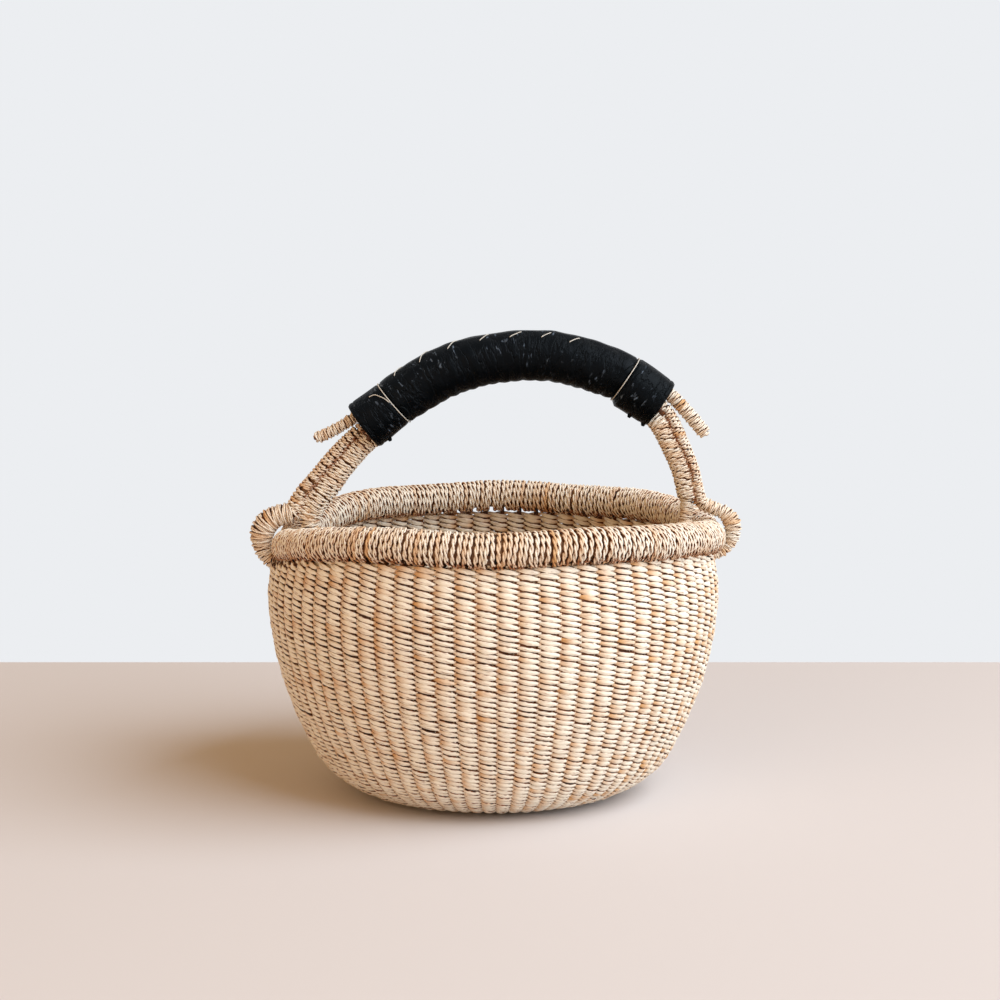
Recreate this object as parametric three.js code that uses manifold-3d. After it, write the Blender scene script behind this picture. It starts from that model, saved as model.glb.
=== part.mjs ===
// A small round basket: a bowl of twined grass, a wrapped rim, and a wrapped cord handle
// with a leather grip. Millimetres, +Z up. The origin is the centre of the flat base,
// +X points at the right handle loop and -Y at the viewer.
import * as THREE from "three";
import { mergeVertices } from "three/addons/utils/BufferGeometryUtils.js";
import Module from "manifold-3d";

const wasm = await Module();
wasm.setup();

// Bowl: the woven wall and its layers
const bowlRadius = 100.8; // widest outside radius
const baseRadius = 46; // flat part that the basket stands on
const wallHeight = 110; // top of the woven wall, away from the handle
const outerWeft = 1.9; // weft strands outside the stakes
const innerWeft = 1.6; // weft strands inside the stakes
const stakeThickness = 2;
const stakeWidth = 2.6;
const crossingRadius = 20; // where the crossed bundles in the base part into single ones
const layerClearance = 0.3;

// Rim: a hoop of bundled grass inside a wound sleeve, pulled down at the handle loops
const openRow = 2.4; // left open between the wall and the rim
const rimInset = 0.9; // from the tops of the stakes inwards to the hoop's centre line
const rimShift = 2.2; // the rim leans this far to the right of the base
const coreRadius = 6.2;
const rimWrap = 1.1; // thickness of the wound sleeve
const leftDip = 10.3;
const rightDip = 6;
const rippleHeight = 0.7;

// Handle: one cord bundle, its windings and the leather
const handleRise = 73; // top of the grip's centre line above the rim's
const bundleRadius = 2.3;
const legWrap = 1.6; // thickness of the winding on the legs
const leftLoopWrap = 1.8;
const rightLoopWrap = 0.9;
const tailWrap = 0.5;
const legPitch = 7.6; // between the two bundles of a leg
const cordClearance = 0.3;
const loopSeat = 0.5; // from the rim to the loop where it passes under the rim
const swingRoom = 2.2; // from the rim to the loop above it, which lets the handle lean
const tailTip = 1.2; // the winding past the end of the bundle
const bindingRadius = 9.5; // winding round the three bundles in the grip
const bindingWall = 0.6;
const leather = 1.4;
const cuffLeather = 1.7;
const leatherClearance = 0.3;
const seamGap = 0.3;
const mouthInset = 1; // the binding ends this far inside the cuffs
const threadRadius = 0.3;
const threadClearance = 0.3;
const threadPitch = 1.5; // between the turns of thread on a cuff seam
const lacingStep = 13; // between the stitches along the top of the grip

// Cuts reach this far past what they cut
const overrun = 5;
const notchRoom = 0.8; // round the handle loop where it passes through the wall

// Counts and angles
const stakeCount = 72;
const wallSegments = stakeCount / 2; // so that two stakes stand behind each flat of the wall
const rimSides = 8;
const bundleSides = 6;
const windingSides = 8;
const leatherSides = 12;
const threadSides = 6;
const bundleSteps = 120;
const legSteps = 6;
const loopSteps = 10; // in each half of a loop
const tailSteps = 4;
const gripSteps = 14;
const cuffSteps = 3;
const passSteps = 6; // places along each pass of the bundle in the grip
const loopPlaces = 10; // places along each loop
const stepsPerTurn = 24; // of a seam thread
const leftSeamTurns = 2.2;
const rightSeamTurns = 1.6;
const stepsPerStitch = 8;
const stitchSlantShare = 0.62; // part of each lacing step that the visible stitch takes
const loopStartTurn = THREE.MathUtils.degToRad(80);
const loopEndTurn = THREE.MathUtils.degToRad(-170);
const seamStartTurn = THREE.MathUtils.degToRad(23);
const stitchFrontTurn = THREE.MathUtils.degToRad(38); // from the crest towards the viewer
const stitchBackTurn = THREE.MathUtils.degToRad(-14);
const mergeTolerance = 1e-3;
const leftDipSpread = THREE.MathUtils.degToRad(34);
const rightDipSpread = THREE.MathUtils.degToRad(30);
const rippleWaves = 7;
const rippleTurn = THREE.MathUtils.degToRad(106);
const dipStartShare = 0.5; // height on the wall where the dip begins

// The wall's outline: from the edge of the base to the top, as shares of the way out from
// the base radius to the widest radius, and of the wall's height
const wallShares = [
  [0, 0],
  [0.31, 0.026],
  [0.56, 0.115],
  [0.745, 0.275],
  [0.895, 0.475],
  [0.985, 0.69],
  [1, 0.83],
  [0.95, 1],
];

// The handle's centre line, seen from the front: shares of the rim radius and of the rise
const gripShares = [
  [-0.634, 0.577],
  [-0.499, 0.71],
  [-0.231, 0.915],
  [0.055, 1],
  [0.246, 1],
  [0.436, 0.944],
  [0.612, 0.851],
  [0.766, 0.715],
];
const leftLegShares = [
  [-0.762, 0.329],
  [-0.865, 0.178],
];
const rightLegShares = [
  [0.817, 0.518],
  [0.872, 0.384],
  [0.895, 0.296],
  [0.91, 0.21],
];
const leftTailShares = [
  [-0.788, 0.551],
  [-0.87, 0.504],
];
const rightTailShares = [
  [0.88, 0.689],
  [0.976, 0.556],
];
// Where the loops leave their circle for the legs, measured like the shares above
const leftInnerShares = [[-0.853, 0.055]];
const leftOuterShares = [[-0.953, 0.107]];
const rightInnerShares = [[0.85, 0.09]];
const rightOuterShares = [[0.965, 0.135]];

// The three passes of the bundle in the grip, at its left end, middle and right end:
// shares of the leg pitch, outwards from the arch and away from the viewer
const passShares = {
  first: [
    [0.71, -0.16],
    [0.42, -0.55],
    [-0.28, -0.47],
  ],
  second: [
    [-0.71, -0.43],
    [-0.63, 0],
    [-0.62, 0.47],
  ],
  third: [
    [-0.18, 0.43],
    [0.42, 0.55],
    [0.71, 0.08],
  ],
};
// The seams between grip and cuffs, as shares of the leather's length
const leftSeamShare = 0.105;
const rightSeamShare = 0.885;

// Materials
const grass = new THREE.MeshStandardMaterial({ color: 0xdcc19a, roughness: 0.8 });
const innerGrass = new THREE.MeshStandardMaterial({ color: 0xb89c78, roughness: 0.85 });
const windingGrass = new THREE.MeshStandardMaterial({ color: 0xe2caa6, roughness: 0.75 });
const blackLeather = new THREE.MeshStandardMaterial({ color: 0x11151b, roughness: 0.45 });
const thread = new THREE.MeshStandardMaterial({ color: 0xd9d4c8, roughness: 0.7 });

const basket = new THREE.Group();

function addPiece(name, geometry, material) {
  const mesh = new THREE.Mesh(geometry, material);
  mesh.name = name;
  basket.add(mesh);
}

// A closed mesh as a solid, with its faces turned outwards
function solidOf(geometry) {
  const bare = new THREE.BufferGeometry();
  bare.setAttribute("position", geometry.getAttribute("position"));
  if (geometry.index) bare.setIndex(geometry.index);
  const merged = mergeVertices(bare, mergeTolerance);
  const triVerts = new Uint32Array(merged.index.array);
  const vertProperties = new Float32Array(merged.attributes.position.array);
  const solid = new wasm.Manifold(new wasm.Mesh({ numProp: 3, vertProperties, triVerts }));
  if (solid.volume() > 0) return solid;
  for (let i = 0; i < triVerts.length; i += 3) {
    [triVerts[i + 1], triVerts[i + 2]] = [triVerts[i + 2], triVerts[i + 1]];
  }
  return new wasm.Manifold(new wasm.Mesh({ numProp: 3, vertProperties, triVerts }));
}

function geometryOf(solid) {
  const mesh = solid.getMesh();
  const geometry = new THREE.BufferGeometry();
  geometry.setAttribute("position", new THREE.BufferAttribute(mesh.vertProperties, mesh.numProp));
  geometry.setIndex(new THREE.BufferAttribute(mesh.triVerts, 1));
  geometry.computeVertexNormals();
  return geometry;
}

function smoothStep(share) {
  const held = THREE.MathUtils.clamp(share, 0, 1);
  return held * held * (3 - 2 * held);
}

// The wall's outline moved inwards by a distance, corner by corner, from the axis to the top
function wallOutline(inset) {
  const outside = [new THREE.Vector2(0, 0)];
  for (const [outShare, upShare] of wallShares) {
    const radius = baseRadius + (bowlRadius - baseRadius) * outShare;
    outside.push(new THREE.Vector2(radius, wallHeight * upShare));
  }
  const inward = [];
  for (let i = 1; i < outside.length; i++) {
    const along = outside[i].clone().sub(outside[i - 1]).normalize();
    inward.push(new THREE.Vector2(-along.y, along.x));
  }
  return outside.map((point, i) => {
    const before = inward[Math.max(i - 1, 0)];
    const after = inward[Math.min(i, inward.length - 1)];
    const middle = before.clone().add(after).normalize();
    const reach = inset / middle.dot(before);
    const moved = point.clone().addScaledVector(middle, reach);
    if (i === outside.length - 1) moved.y = wallHeight;
    return moved;
  });
}

// The stakes lie between the weft layers. Where their tops enter the rim is measured from the
// bowl's axis, before the rim's shift, and carries the rim.
const stakeInset = outerWeft + layerClearance;
const stakeInner = stakeInset + stakeThickness;
const topOutline = wallOutline(stakeInset + stakeThickness / 2);
const slotRadius = topOutline[topOutline.length - 1].x;
const rimRadius = slotRadius - rimInset; // radius of the hoop's centre line
const rimOutside = coreRadius + layerClearance + rimWrap;
const rimHeight = wallHeight + openRow + rimOutside;

// How far the rim is pulled down at an angle round the bowl
function rimDip(angle) {
  const right = Math.atan2(Math.sin(angle), Math.cos(angle));
  const left = Math.atan2(Math.sin(angle - Math.PI), Math.cos(angle - Math.PI));
  const atRight = rightDip * Math.exp(-((right / rightDipSpread) ** 2));
  const atLeft = leftDip * Math.exp(-((left / leftDipSpread) ** 2));
  return atRight + atLeft;
}

function rimCentreHeight(angle) {
  const quiet = Math.sin(angle) ** 2;
  const ripple = rippleHeight * quiet * Math.cos(rippleWaves * angle + rippleTurn);
  return rimHeight - rimDip(angle) + ripple;
}

// The wall and the rim are made of flats. Between the edges of a flat they lie nearer the
// axis, and the rim's height is that of the two edges, mixed.
const flatTurn = (2 * Math.PI) / wallSegments;

function flatShare(angle) {
  const fromMiddle = angle - (Math.floor(angle / flatTurn) + 0.5) * flatTurn;
  return Math.cos(flatTurn / 2) / Math.cos(fromMiddle);
}

function rimFlatHeight(angle) {
  const edge = Math.floor(angle / flatTurn);
  const from = rimCentreHeight(edge * flatTurn);
  const to = rimCentreHeight((edge + 1) * flatTurn);
  return THREE.MathUtils.lerp(from, to, angle / flatTurn - edge);
}

// A height on the straight wall, moved down where the rim pulls the wall down
function wallWarp(angle, height) {
  const upward = (height / wallHeight - dipStartShare) / (1 - dipStartShare);
  return height - rimDip(angle) * smoothStep(upward);
}

// A layer of the wall between two insets, turned round the axis
function wallLayer(fromInset, toInset) {
  const outline = [...wallOutline(fromInset), ...wallOutline(toInset).reverse()];
  const geometry = new THREE.LatheGeometry(outline, wallSegments);
  geometry.rotateX(Math.PI / 2);
  const points = geometry.getAttribute("position");
  for (let i = 0; i < points.count; i++) {
    const angle = Math.atan2(points.getY(i), points.getX(i));
    points.setZ(i, wallWarp(angle, points.getZ(i)));
  }
  return solidOf(geometry);
}

// The handle loop under the rim on one side: side is -1 at the left and 1 at the right
function loopOf(side, wrap) {
  const angle = side < 0 ? Math.PI : 0;
  const radius = bundleRadius + cordClearance + wrap;
  const below = rimOutside + loopSeat + radius;
  const above = rimOutside + swingRoom + radius;
  const rim = new THREE.Vector3(side * rimRadius + rimShift, 0, rimCentreHeight(angle));
  const centre = rim.clone();
  centre.z += (above - below) / 2;
  return { side, radius, centre, reach: (above + below) / 2, bottom: rim.z - below, x: rim.x };
}
const leftLoop = loopOf(-1, leftLoopWrap);
const rightLoop = loopOf(1, rightLoopWrap);

// The way through the wall for a handle loop: a slot with a round bottom, open at the top
function wallNotch(loop) {
  const half = loop.radius + notchRoom;
  const shape = new THREE.Shape();
  shape.moveTo(half, rimHeight);
  shape.lineTo(-half, rimHeight);
  shape.absarc(0, loop.bottom, half, Math.PI, Math.PI * 2, false);
  const depth = outerWeft + innerWeft + stakeThickness + loop.reach;
  const geometry = new THREE.ExtrudeGeometry(shape, {
    depth,
    bevelEnabled: false,
    curveSegments: windingSides,
  });
  geometry.rotateX(Math.PI / 2);
  geometry.rotateZ(Math.PI / 2);
  const middle = loop.side * (bowlRadius - depth / 2 + overrun);
  geometry.translate(middle - depth / 2, 0, 0);
  return solidOf(geometry);
}
const notches = wallNotch(leftLoop).add(wallNotch(rightLoop));

// Stakes: flat strips of bundled grass between the two weft layers
// The stakes part where a handle loop passes between them
function partedAngle(angle) {
  const half = Math.max(leftLoop.radius, rightLoop.radius) + notchRoom;
  const clear = Math.asin((half + layerClearance + stakeWidth / 2) / (rimRadius - stakeInner));
  const step = (2 * Math.PI) / stakeCount;
  const nearest = Math.round(angle / Math.PI) * Math.PI;
  const away = angle - nearest;
  const push = Math.max(clear - step / 2, 0) * Math.exp(-(((Math.abs(away) - step / 2) / step) ** 2));
  return angle + Math.sign(away) * push;
}

function stakeAngle(index) {
  return partedAngle(((index + 0.5) * 2 * Math.PI) / stakeCount);
}

function wallStake(angle) {
  const near = flatShare(angle);
  const place = (point) => new THREE.Vector2(point.x * near, wallWarp(angle, point.y));
  const outer = wallOutline(stakeInset).slice(1).map(place);
  const inner = wallOutline(stakeInner).slice(1).map(place);
  const topRadius = slotRadius * near + rimShift * Math.cos(angle);
  const top = rimFlatHeight(angle) - coreRadius - layerClearance;
  const end = [
    new THREE.Vector2(topRadius + stakeThickness / 2, top),
    new THREE.Vector2(topRadius - stakeThickness / 2, top),
  ];
  const shape = new THREE.Shape([...outer, ...end, ...inner.reverse()]);
  const geometry = new THREE.ExtrudeGeometry(shape, { depth: stakeWidth, bevelEnabled: false });
  geometry.translate(0, 0, -stakeWidth / 2);
  geometry.rotateX(Math.PI / 2);
  geometry.rotateZ(angle);
  return solidOf(geometry);
}

// In the base the stakes lie flat: bundles cross in the middle and part into bars, and each
// bar parts into two stakes at the foot of the wall
function crossedBundles() {
  const geometry = new THREE.CylinderGeometry(
    crossingRadius,
    crossingRadius,
    stakeThickness,
    wallSegments,
  );
  geometry.rotateX(Math.PI / 2);
  geometry.translate(0, 0, stakeInset + stakeThickness / 2);
  return solidOf(geometry);
}

function baseBar(angle) {
  const from = crossingRadius - stakeWidth;
  const to = baseRadius + layerClearance;
  const geometry = new THREE.BoxGeometry(to - from, stakeWidth, stakeThickness);
  geometry.translate((from + to) / 2, 0, stakeInset + stakeThickness / 2);
  geometry.rotateZ(angle);
  return solidOf(geometry);
}

function stakeStar() {
  const pieces = [crossedBundles()];
  for (let i = 0; i < stakeCount; i++) pieces.push(wallStake(stakeAngle(i)));
  for (let i = 0; i < stakeCount; i += 2) {
    pieces.push(baseBar((stakeAngle(i) + stakeAngle(i + 1)) / 2));
  }
  return pieces.reduce((joined, piece) => joined.add(piece));
}

addPiece("weft_outer", geometryOf(wallLayer(0, outerWeft).subtract(notches)), grass);
addPiece("stakes", geometryOf(stakeStar()), innerGrass);
const innerLayer = wallLayer(stakeInner + layerClearance, stakeInner + layerClearance + innerWeft);
addPiece("weft_inner", geometryOf(innerLayer.subtract(notches)), grass);

// Rim: a closed outline turned round the axis, then lifted along the rim's dips and ripples
function rimRing(outline) {
  const geometry = new THREE.LatheGeometry([...outline, outline[0]], wallSegments);
  geometry.rotateX(Math.PI / 2);
  const points = geometry.getAttribute("position");
  for (let i = 0; i < points.count; i++) {
    const angle = Math.atan2(points.getY(i), points.getX(i));
    points.setX(i, points.getX(i) + rimShift);
    points.setZ(i, points.getZ(i) + rimCentreHeight(angle));
  }
  return solidOf(geometry);
}

function arcPoints(radius, fromAngle, toAngle, steps) {
  return Array.from({ length: steps + 1 }, (_, i) => {
    const angle = fromAngle + ((toAngle - fromAngle) * i) / steps;
    return new THREE.Vector2(rimRadius + radius * Math.cos(angle), radius * Math.sin(angle));
  });
}

function rimCore() {
  const outline = arcPoints(coreRadius, 0, Math.PI * 2, rimSides);
  return rimRing(outline.slice(0, rimSides));
}

// The wound sleeve is open along its underside, where the stakes come up into the rim
function rimSleeve() {
  const inside = coreRadius + layerClearance;
  const offset = Math.asin(rimInset / rimOutside);
  const halfSlot = Math.asin((stakeThickness / 2 + 2 * layerClearance) / inside);
  const from = -Math.PI / 2 + offset + halfSlot;
  const to = from + 2 * (Math.PI - halfSlot);
  const halfSide = (Math.PI - halfSlot) / rimSides;
  const outer = arcPoints(rimOutside, from, to, rimSides);
  const inner = arcPoints(inside / Math.cos(halfSide), from, to, rimSides);
  return rimRing([...outer, ...inner.reverse()]);
}

addPiece("rim_core", geometryOf(rimCore()), innerGrass);
addPiece("rim_wrap", geometryOf(rimSleeve()), windingGrass);

// Handle routes. Seen from the front, a place is a share of the rim radius and of the rise.
function frontPoint([acrossShare, upShare]) {
  return new THREE.Vector3(
    rimShift + rimRadius * acrossShare,
    0,
    rimHeight + handleRise * upShare,
  );
}

// Outwards from the arch, square to a direction in the front plane
function outwardOf(along) {
  return new THREE.Vector3(-along.z, 0, along.x).normalize();
}

const gripCurve = new THREE.CatmullRomCurve3(gripShares.map(frontPoint));
const away = new THREE.Vector3(0, 1, 0);

// One pass of the bundle through the grip, from the left mouth to the right one
function passPoints(shares) {
  const across = new THREE.CatmullRomCurve3(
    shares.map(([out, back]) => new THREE.Vector3(out * legPitch, back * legPitch, 0)),
  );
  return Array.from({ length: passSteps + 1 }, (_, i) => {
    const place = i / passSteps;
    const offset = across.getPoint(place);
    const point = gripCurve.getPointAt(place);
    const outward = outwardOf(gripCurve.getTangentAt(place));
    return point.addScaledVector(outward, offset.x).addScaledVector(away, offset.y);
  });
}

// The two bundles of a leg, side by side, turning from their places at the mouth into the
// plane of the loop. Returns the outer and the inner bundle, from the mouth downwards.
function legPoints(shares, outerAtMouth, innerAtMouth, side) {
  const apart = outerAtMouth.clone().sub(innerAtMouth);
  const middle = outerAtMouth.clone().add(innerAtMouth).multiplyScalar(0.5);
  const centres = shares.map(frontPoint);
  const line = [middle, ...centres];
  const turnAtMouth = Math.asin(THREE.MathUtils.clamp(apart.y / apart.length(), -1, 1));
  const outer = [];
  const inner = [];
  centres.forEach((centre, i) => {
    const along = centre.clone().sub(line[i]).normalize();
    const outward = outwardOf(along).multiplyScalar(side);
    const turn = turnAtMouth * (1 - (i + 1) / centres.length);
    const half = outward.multiplyScalar(Math.cos(turn)).addScaledVector(away, Math.sin(turn));
    half.multiplyScalar(legPitch / 2);
    outer.push(centre.clone().add(half));
    inner.push(centre.clone().sub(half));
  });
  return { outer, inner };
}

// The loop round the rim, from its outer side above the rim, down, under, and up inside
function loopPoints(loop) {
  return Array.from({ length: loopPlaces + 1 }, (_, i) => {
    const turn = THREE.MathUtils.lerp(loopStartTurn, loopEndTurn, i / loopPlaces);
    const out = loop.side * loop.reach * Math.cos(turn);
    return loop.centre.clone().add(new THREE.Vector3(out, 0, loop.reach * Math.sin(turn)));
  });
}

const firstPass = passPoints(passShares.first);
const secondPass = passPoints(passShares.second);
const thirdPass = passPoints(passShares.third);
const last = firstPass.length - 1;
const rightLeg = legPoints(rightLegShares, firstPass[last], secondPass[last], 1);
const leftLeg = legPoints(leftLegShares, thirdPass[0], secondPass[0], -1);

// The whole bundle as one list of places, with the stretches between its landmarks
const bundlePlaces = [];
const stretches = {};
function runTo(name, points) {
  const from = Math.max(bundlePlaces.length - 1, 0);
  bundlePlaces.push(...points);
  stretches[name] = [from, bundlePlaces.length - 1];
}
const leftTail = leftTailShares.map(frontPoint).reverse();
leftTail.forEach((point) => point.setY(firstPass[0].y));
const rightTail = rightTailShares.map(frontPoint);
rightTail.forEach((point) => point.setY(thirdPass[last].y));
runTo("leftTail", [...leftTail, firstPass[0]]);
runTo("firstPass", firstPass.slice(1));
runTo("rightOuterLeg", rightLeg.outer);
runTo("rightLoop", [
  ...rightOuterShares.map(frontPoint),
  ...loopPoints(rightLoop),
  ...rightInnerShares.map(frontPoint),
  rightLeg.inner[rightLeg.inner.length - 1],
]);
runTo("rightInnerLeg", [...rightLeg.inner.slice(0, -1).reverse(), secondPass[last]]);
runTo("secondPass", secondPass.slice(0, -1).reverse());
runTo("leftInnerLeg", leftLeg.inner);
runTo("leftLoop", [
  ...leftInnerShares.map(frontPoint),
  ...loopPoints(leftLoop).reverse(),
  ...leftOuterShares.map(frontPoint),
  leftLeg.outer[leftLeg.outer.length - 1],
]);
runTo("leftOuterLeg", [...leftLeg.outer.slice(0, -1).reverse(), thirdPass[0]]);
runTo("thirdPass", thirdPass.slice(1));
runTo("rightTail", rightTail);

const bundleCurve = new THREE.CatmullRomCurve3(bundlePlaces);
const finePerPlace = 24;
bundleCurve.arcLengthDivisions = (bundlePlaces.length - 1) * finePerPlace;
const bundleLengths = bundleCurve.getLengths();
const bundleLength = bundleLengths[bundleLengths.length - 1];

// Part of a longer curve, between two lengths along it
class Stretch extends THREE.Curve {
  constructor(whole, from, to) {
    super();
    this.whole = whole;
    this.from = from;
    this.to = to;
  }
  getPoint(share, target = new THREE.Vector3()) {
    const length = this.from + (this.to - this.from) * share;
    return this.whole.getPointAt(length / this.whole.getLength(), target);
  }
}

// A stretch of the bundle by name, shortened or lengthened at its ends
function bundleStretch(name, trimStart, trimEnd) {
  const [from, to] = stretches[name];
  const start = bundleLengths[from * finePerPlace] + trimStart;
  const end = bundleLengths[to * finePerPlace] - trimEnd;
  return new Stretch(bundleCurve, start, end);
}

function roundShape(radius, sides) {
  const shape = new THREE.Shape();
  for (let i = 0; i < sides; i++) {
    const angle = (2 * Math.PI * i) / sides;
    const point = new THREE.Vector2(radius * Math.cos(angle), radius * Math.sin(angle));
    if (i === 0) shape.moveTo(point.x, point.y);
    else shape.lineTo(point.x, point.y);
  }
  return shape;
}

function tube(path, radius, sides, steps) {
  const shape = roundShape(radius, sides);
  return solidOf(new THREE.ExtrudeGeometry(shape, { extrudePath: path, steps, bevelEnabled: false }));
}

function sleeve(path, outside, wall, sides, steps) {
  const shape = roundShape(outside, sides);
  shape.holes.push(new THREE.Path(roundShape(outside - wall, sides).getPoints()));
  return solidOf(new THREE.ExtrudeGeometry(shape, { extrudePath: path, steps, bevelEnabled: false }));
}

const half = cordClearance / 2;
const bundle = tube(
  new Stretch(bundleCurve, tailTip, bundleLength - tailTip),
  bundleRadius,
  bundleSides,
  bundleSteps,
);
const bundleBore = tube(
  new Stretch(bundleCurve, tailTip - cordClearance, bundleLength - tailTip + cordClearance),
  bundleRadius + cordClearance,
  bundleSides,
  bundleSteps,
);
addPiece("handle_bundle", geometryOf(bundle), innerGrass);

// Round tubes joined into one solid
function joinedTubes(paths, radius, steps) {
  const tubes = paths.map((path) => tube(path, radius, windingSides, steps));
  return tubes.reduce((joined, piece) => joined.add(piece));
}

// A winding round one or two stretches of the bundle
function winding(paths, wrap, steps) {
  const radius = bundleRadius + cordClearance + wrap;
  return joinedTubes(paths, radius, steps).subtract(bundleBore);
}

// The space of a cuff at one end of the grip, from just outside its mouth inwards
function mouthSpace(share) {
  const mouth = gripCurve.getPointAt(share);
  const inward = gripCurve.getTangentAt(share).multiplyScalar(share < 0.5 ? 1 : -1);
  const from = mouth.clone().addScaledVector(inward, -leatherClearance);
  const to = mouth.clone().addScaledVector(inward, 2 * overrun);
  const radius = bindingRadius + leatherClearance + cuffLeather + overrun;
  return tube(new THREE.LineCurve3(from, to), radius, leatherSides, 1);
}
const leftMouth = mouthSpace(0);
const rightMouth = mouthSpace(1);

// A loop's winding in two halves that meet under the rim, cut clear of its leg's winding
function loopWinding(name, legPaths, wrap) {
  const { whole, from, to } = bundleStretch(name, half, half);
  const middle = (from + to) / 2;
  const halves = [new Stretch(whole, from, middle), new Stretch(whole, middle, to)];
  const legRadius = bundleRadius + 2 * cordClearance + legWrap;
  return winding(halves, wrap, loopSteps).subtract(joinedTubes(legPaths, legRadius, legSteps));
}

const leftLegPaths = [
  bundleStretch("leftInnerLeg", -overrun, half),
  bundleStretch("leftOuterLeg", half, -overrun),
];
const rightLegPaths = [
  bundleStretch("rightOuterLeg", -overrun, half),
  bundleStretch("rightInnerLeg", half, -overrun),
];
const leftLegWinding = winding(leftLegPaths, legWrap, legSteps).subtract(leftMouth);
const rightLegWinding = winding(rightLegPaths, legWrap, legSteps).subtract(rightMouth);
addPiece("left_leg_wrap", geometryOf(leftLegWinding), windingGrass);
addPiece("right_leg_wrap", geometryOf(rightLegWinding), windingGrass);
const leftLoopWinding = loopWinding("leftLoop", leftLegPaths, leftLoopWrap);
addPiece("left_loop_wrap", geometryOf(leftLoopWinding), windingGrass);
const rightLoopWinding = loopWinding("rightLoop", rightLegPaths, rightLoopWrap);
addPiece("right_loop_wrap", geometryOf(rightLoopWinding), windingGrass);
const leftTailPath = bundleStretch("leftTail", 0, -overrun);
const rightTailPath = bundleStretch("rightTail", -overrun, 0);
const leftTailWinding = winding([leftTailPath], tailWrap, tailSteps).subtract(leftMouth);
const rightTailWinding = winding([rightTailPath], tailWrap, tailSteps).subtract(rightMouth);
addPiece("left_tail_wrap", geometryOf(leftTailWinding), windingGrass);
addPiece("right_tail_wrap", geometryOf(rightTailWinding), windingGrass);

// Grip: a wound sleeve round the three passes, then the leather
const gripLength = gripCurve.getLength();
const bindingPath = new Stretch(gripCurve, mouthInset, gripLength - mouthInset);
const binding = sleeve(bindingPath, bindingRadius, bindingWall, leatherSides, gripSteps);
addPiece("grip_binding", geometryOf(binding), windingGrass);

const leatherBore = bindingRadius + leatherClearance;
const leftSeam = gripLength * leftSeamShare;
const rightSeam = gripLength * rightSeamShare;
function leatherTube(from, to, wall, steps) {
  const path = new Stretch(gripCurve, from, to);
  return geometryOf(sleeve(path, leatherBore + wall, wall, leatherSides, steps));
}
const gripLeather = leatherTube(leftSeam + seamGap / 2, rightSeam - seamGap / 2, leather, gripSteps);
addPiece("grip_leather", gripLeather, blackLeather);
const leftCuff = leatherTube(0, leftSeam - seamGap / 2, cuffLeather, cuffSteps);
addPiece("left_cuff", leftCuff, blackLeather);
const rightCuff = leatherTube(rightSeam + seamGap / 2, gripLength, cuffLeather, cuffSteps);
addPiece("right_cuff", rightCuff, blackLeather);

// Threads lie on the leather: a place is a length along the grip and an angle round it,
// with the angle 0 on the crest and positive angles towards the viewer
class ThreadPath extends THREE.Curve {
  constructor(placeAt, radius) {
    super();
    this.placeAt = placeAt;
    this.radius = radius;
  }
  getPoint(share, target = new THREE.Vector3()) {
    const { length, angle } = this.placeAt(share);
    const along = THREE.MathUtils.clamp(length / gripLength, 0, 1);
    const outward = outwardOf(gripCurve.getTangentAt(along));
    gripCurve.getPointAt(along, target);
    target.addScaledVector(outward, this.radius * Math.cos(angle));
    return target.addScaledVector(away, -this.radius * Math.sin(angle));
  }
}

// The least distance between two turns of a thread, leaving out near neighbours
function leastGap(path, turns) {
  const perTurn = 48;
  const points = path.getPoints(Math.round(turns * perTurn));
  let least = Infinity;
  points.forEach((point, i) => {
    for (let j = i + perTurn / 2; j < points.length; j++) {
      least = Math.min(least, point.distanceTo(points[j]) - 2 * threadRadius);
    }
  });
  return least;
}

const ringRadius = leatherBore + cuffLeather + threadClearance + threadRadius;
function seamThread(name, seam, turns, towards) {
  const path = new ThreadPath(
    (share) => ({
      length: seam + towards * threadPitch * turns * (share - 0.5),
      angle: seamStartTurn + 2 * Math.PI * turns * share,
    }),
    ringRadius,
  );
  console.log(name, "least gap to itself", leastGap(path, turns).toFixed(2), "mm");
  const steps = Math.round(turns * stepsPerTurn);
  addPiece(name, geometryOf(tube(path, threadRadius, threadSides, steps)), thread);
}
seamThread("left_seam_thread", leftSeam - threadPitch, leftSeamTurns, -1);
seamThread("right_seam_thread", rightSeam + threadPitch, rightSeamTurns, 1);

// Lacing along the crest: each stitch slants down towards the viewer, then runs back up
function lacing() {
  const clearOfSeam = threadPitch * 3;
  const from = leftSeam + clearOfSeam;
  const to = rightSeam - clearOfSeam;
  const stitches = Math.floor((to - from) / lacingStep);
  const radius = leatherBore + leather + threadClearance + threadRadius;
  const path = new ThreadPath((share) => {
    const within = (share * stitches) % 1;
    const down = within / stitchSlantShare;
    const up = (1 - within) / (1 - stitchSlantShare);
    const turn = smoothStep(Math.min(down, up));
    return {
      length: THREE.MathUtils.lerp(from, to, share),
      angle: THREE.MathUtils.lerp(stitchBackTurn, stitchFrontTurn, turn),
    };
  }, radius);
  return tube(path, threadRadius, threadSides, stitches * stepsPerStitch);
}
addPiece("grip_lacing", geometryOf(lacing()), thread);

export default basket;
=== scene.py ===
# %% [markdown]
# A small basket of twined grass, with a rim wound in twisted grass and an arched handle.
# The solids of the frame give every size and the handle's hinge. This lesson dresses them: each
# strand of grass is a tube worked out with numpy, so the weave is real geometry that catches the
# light, and the shaders only add fibres, colour and creases.

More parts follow.
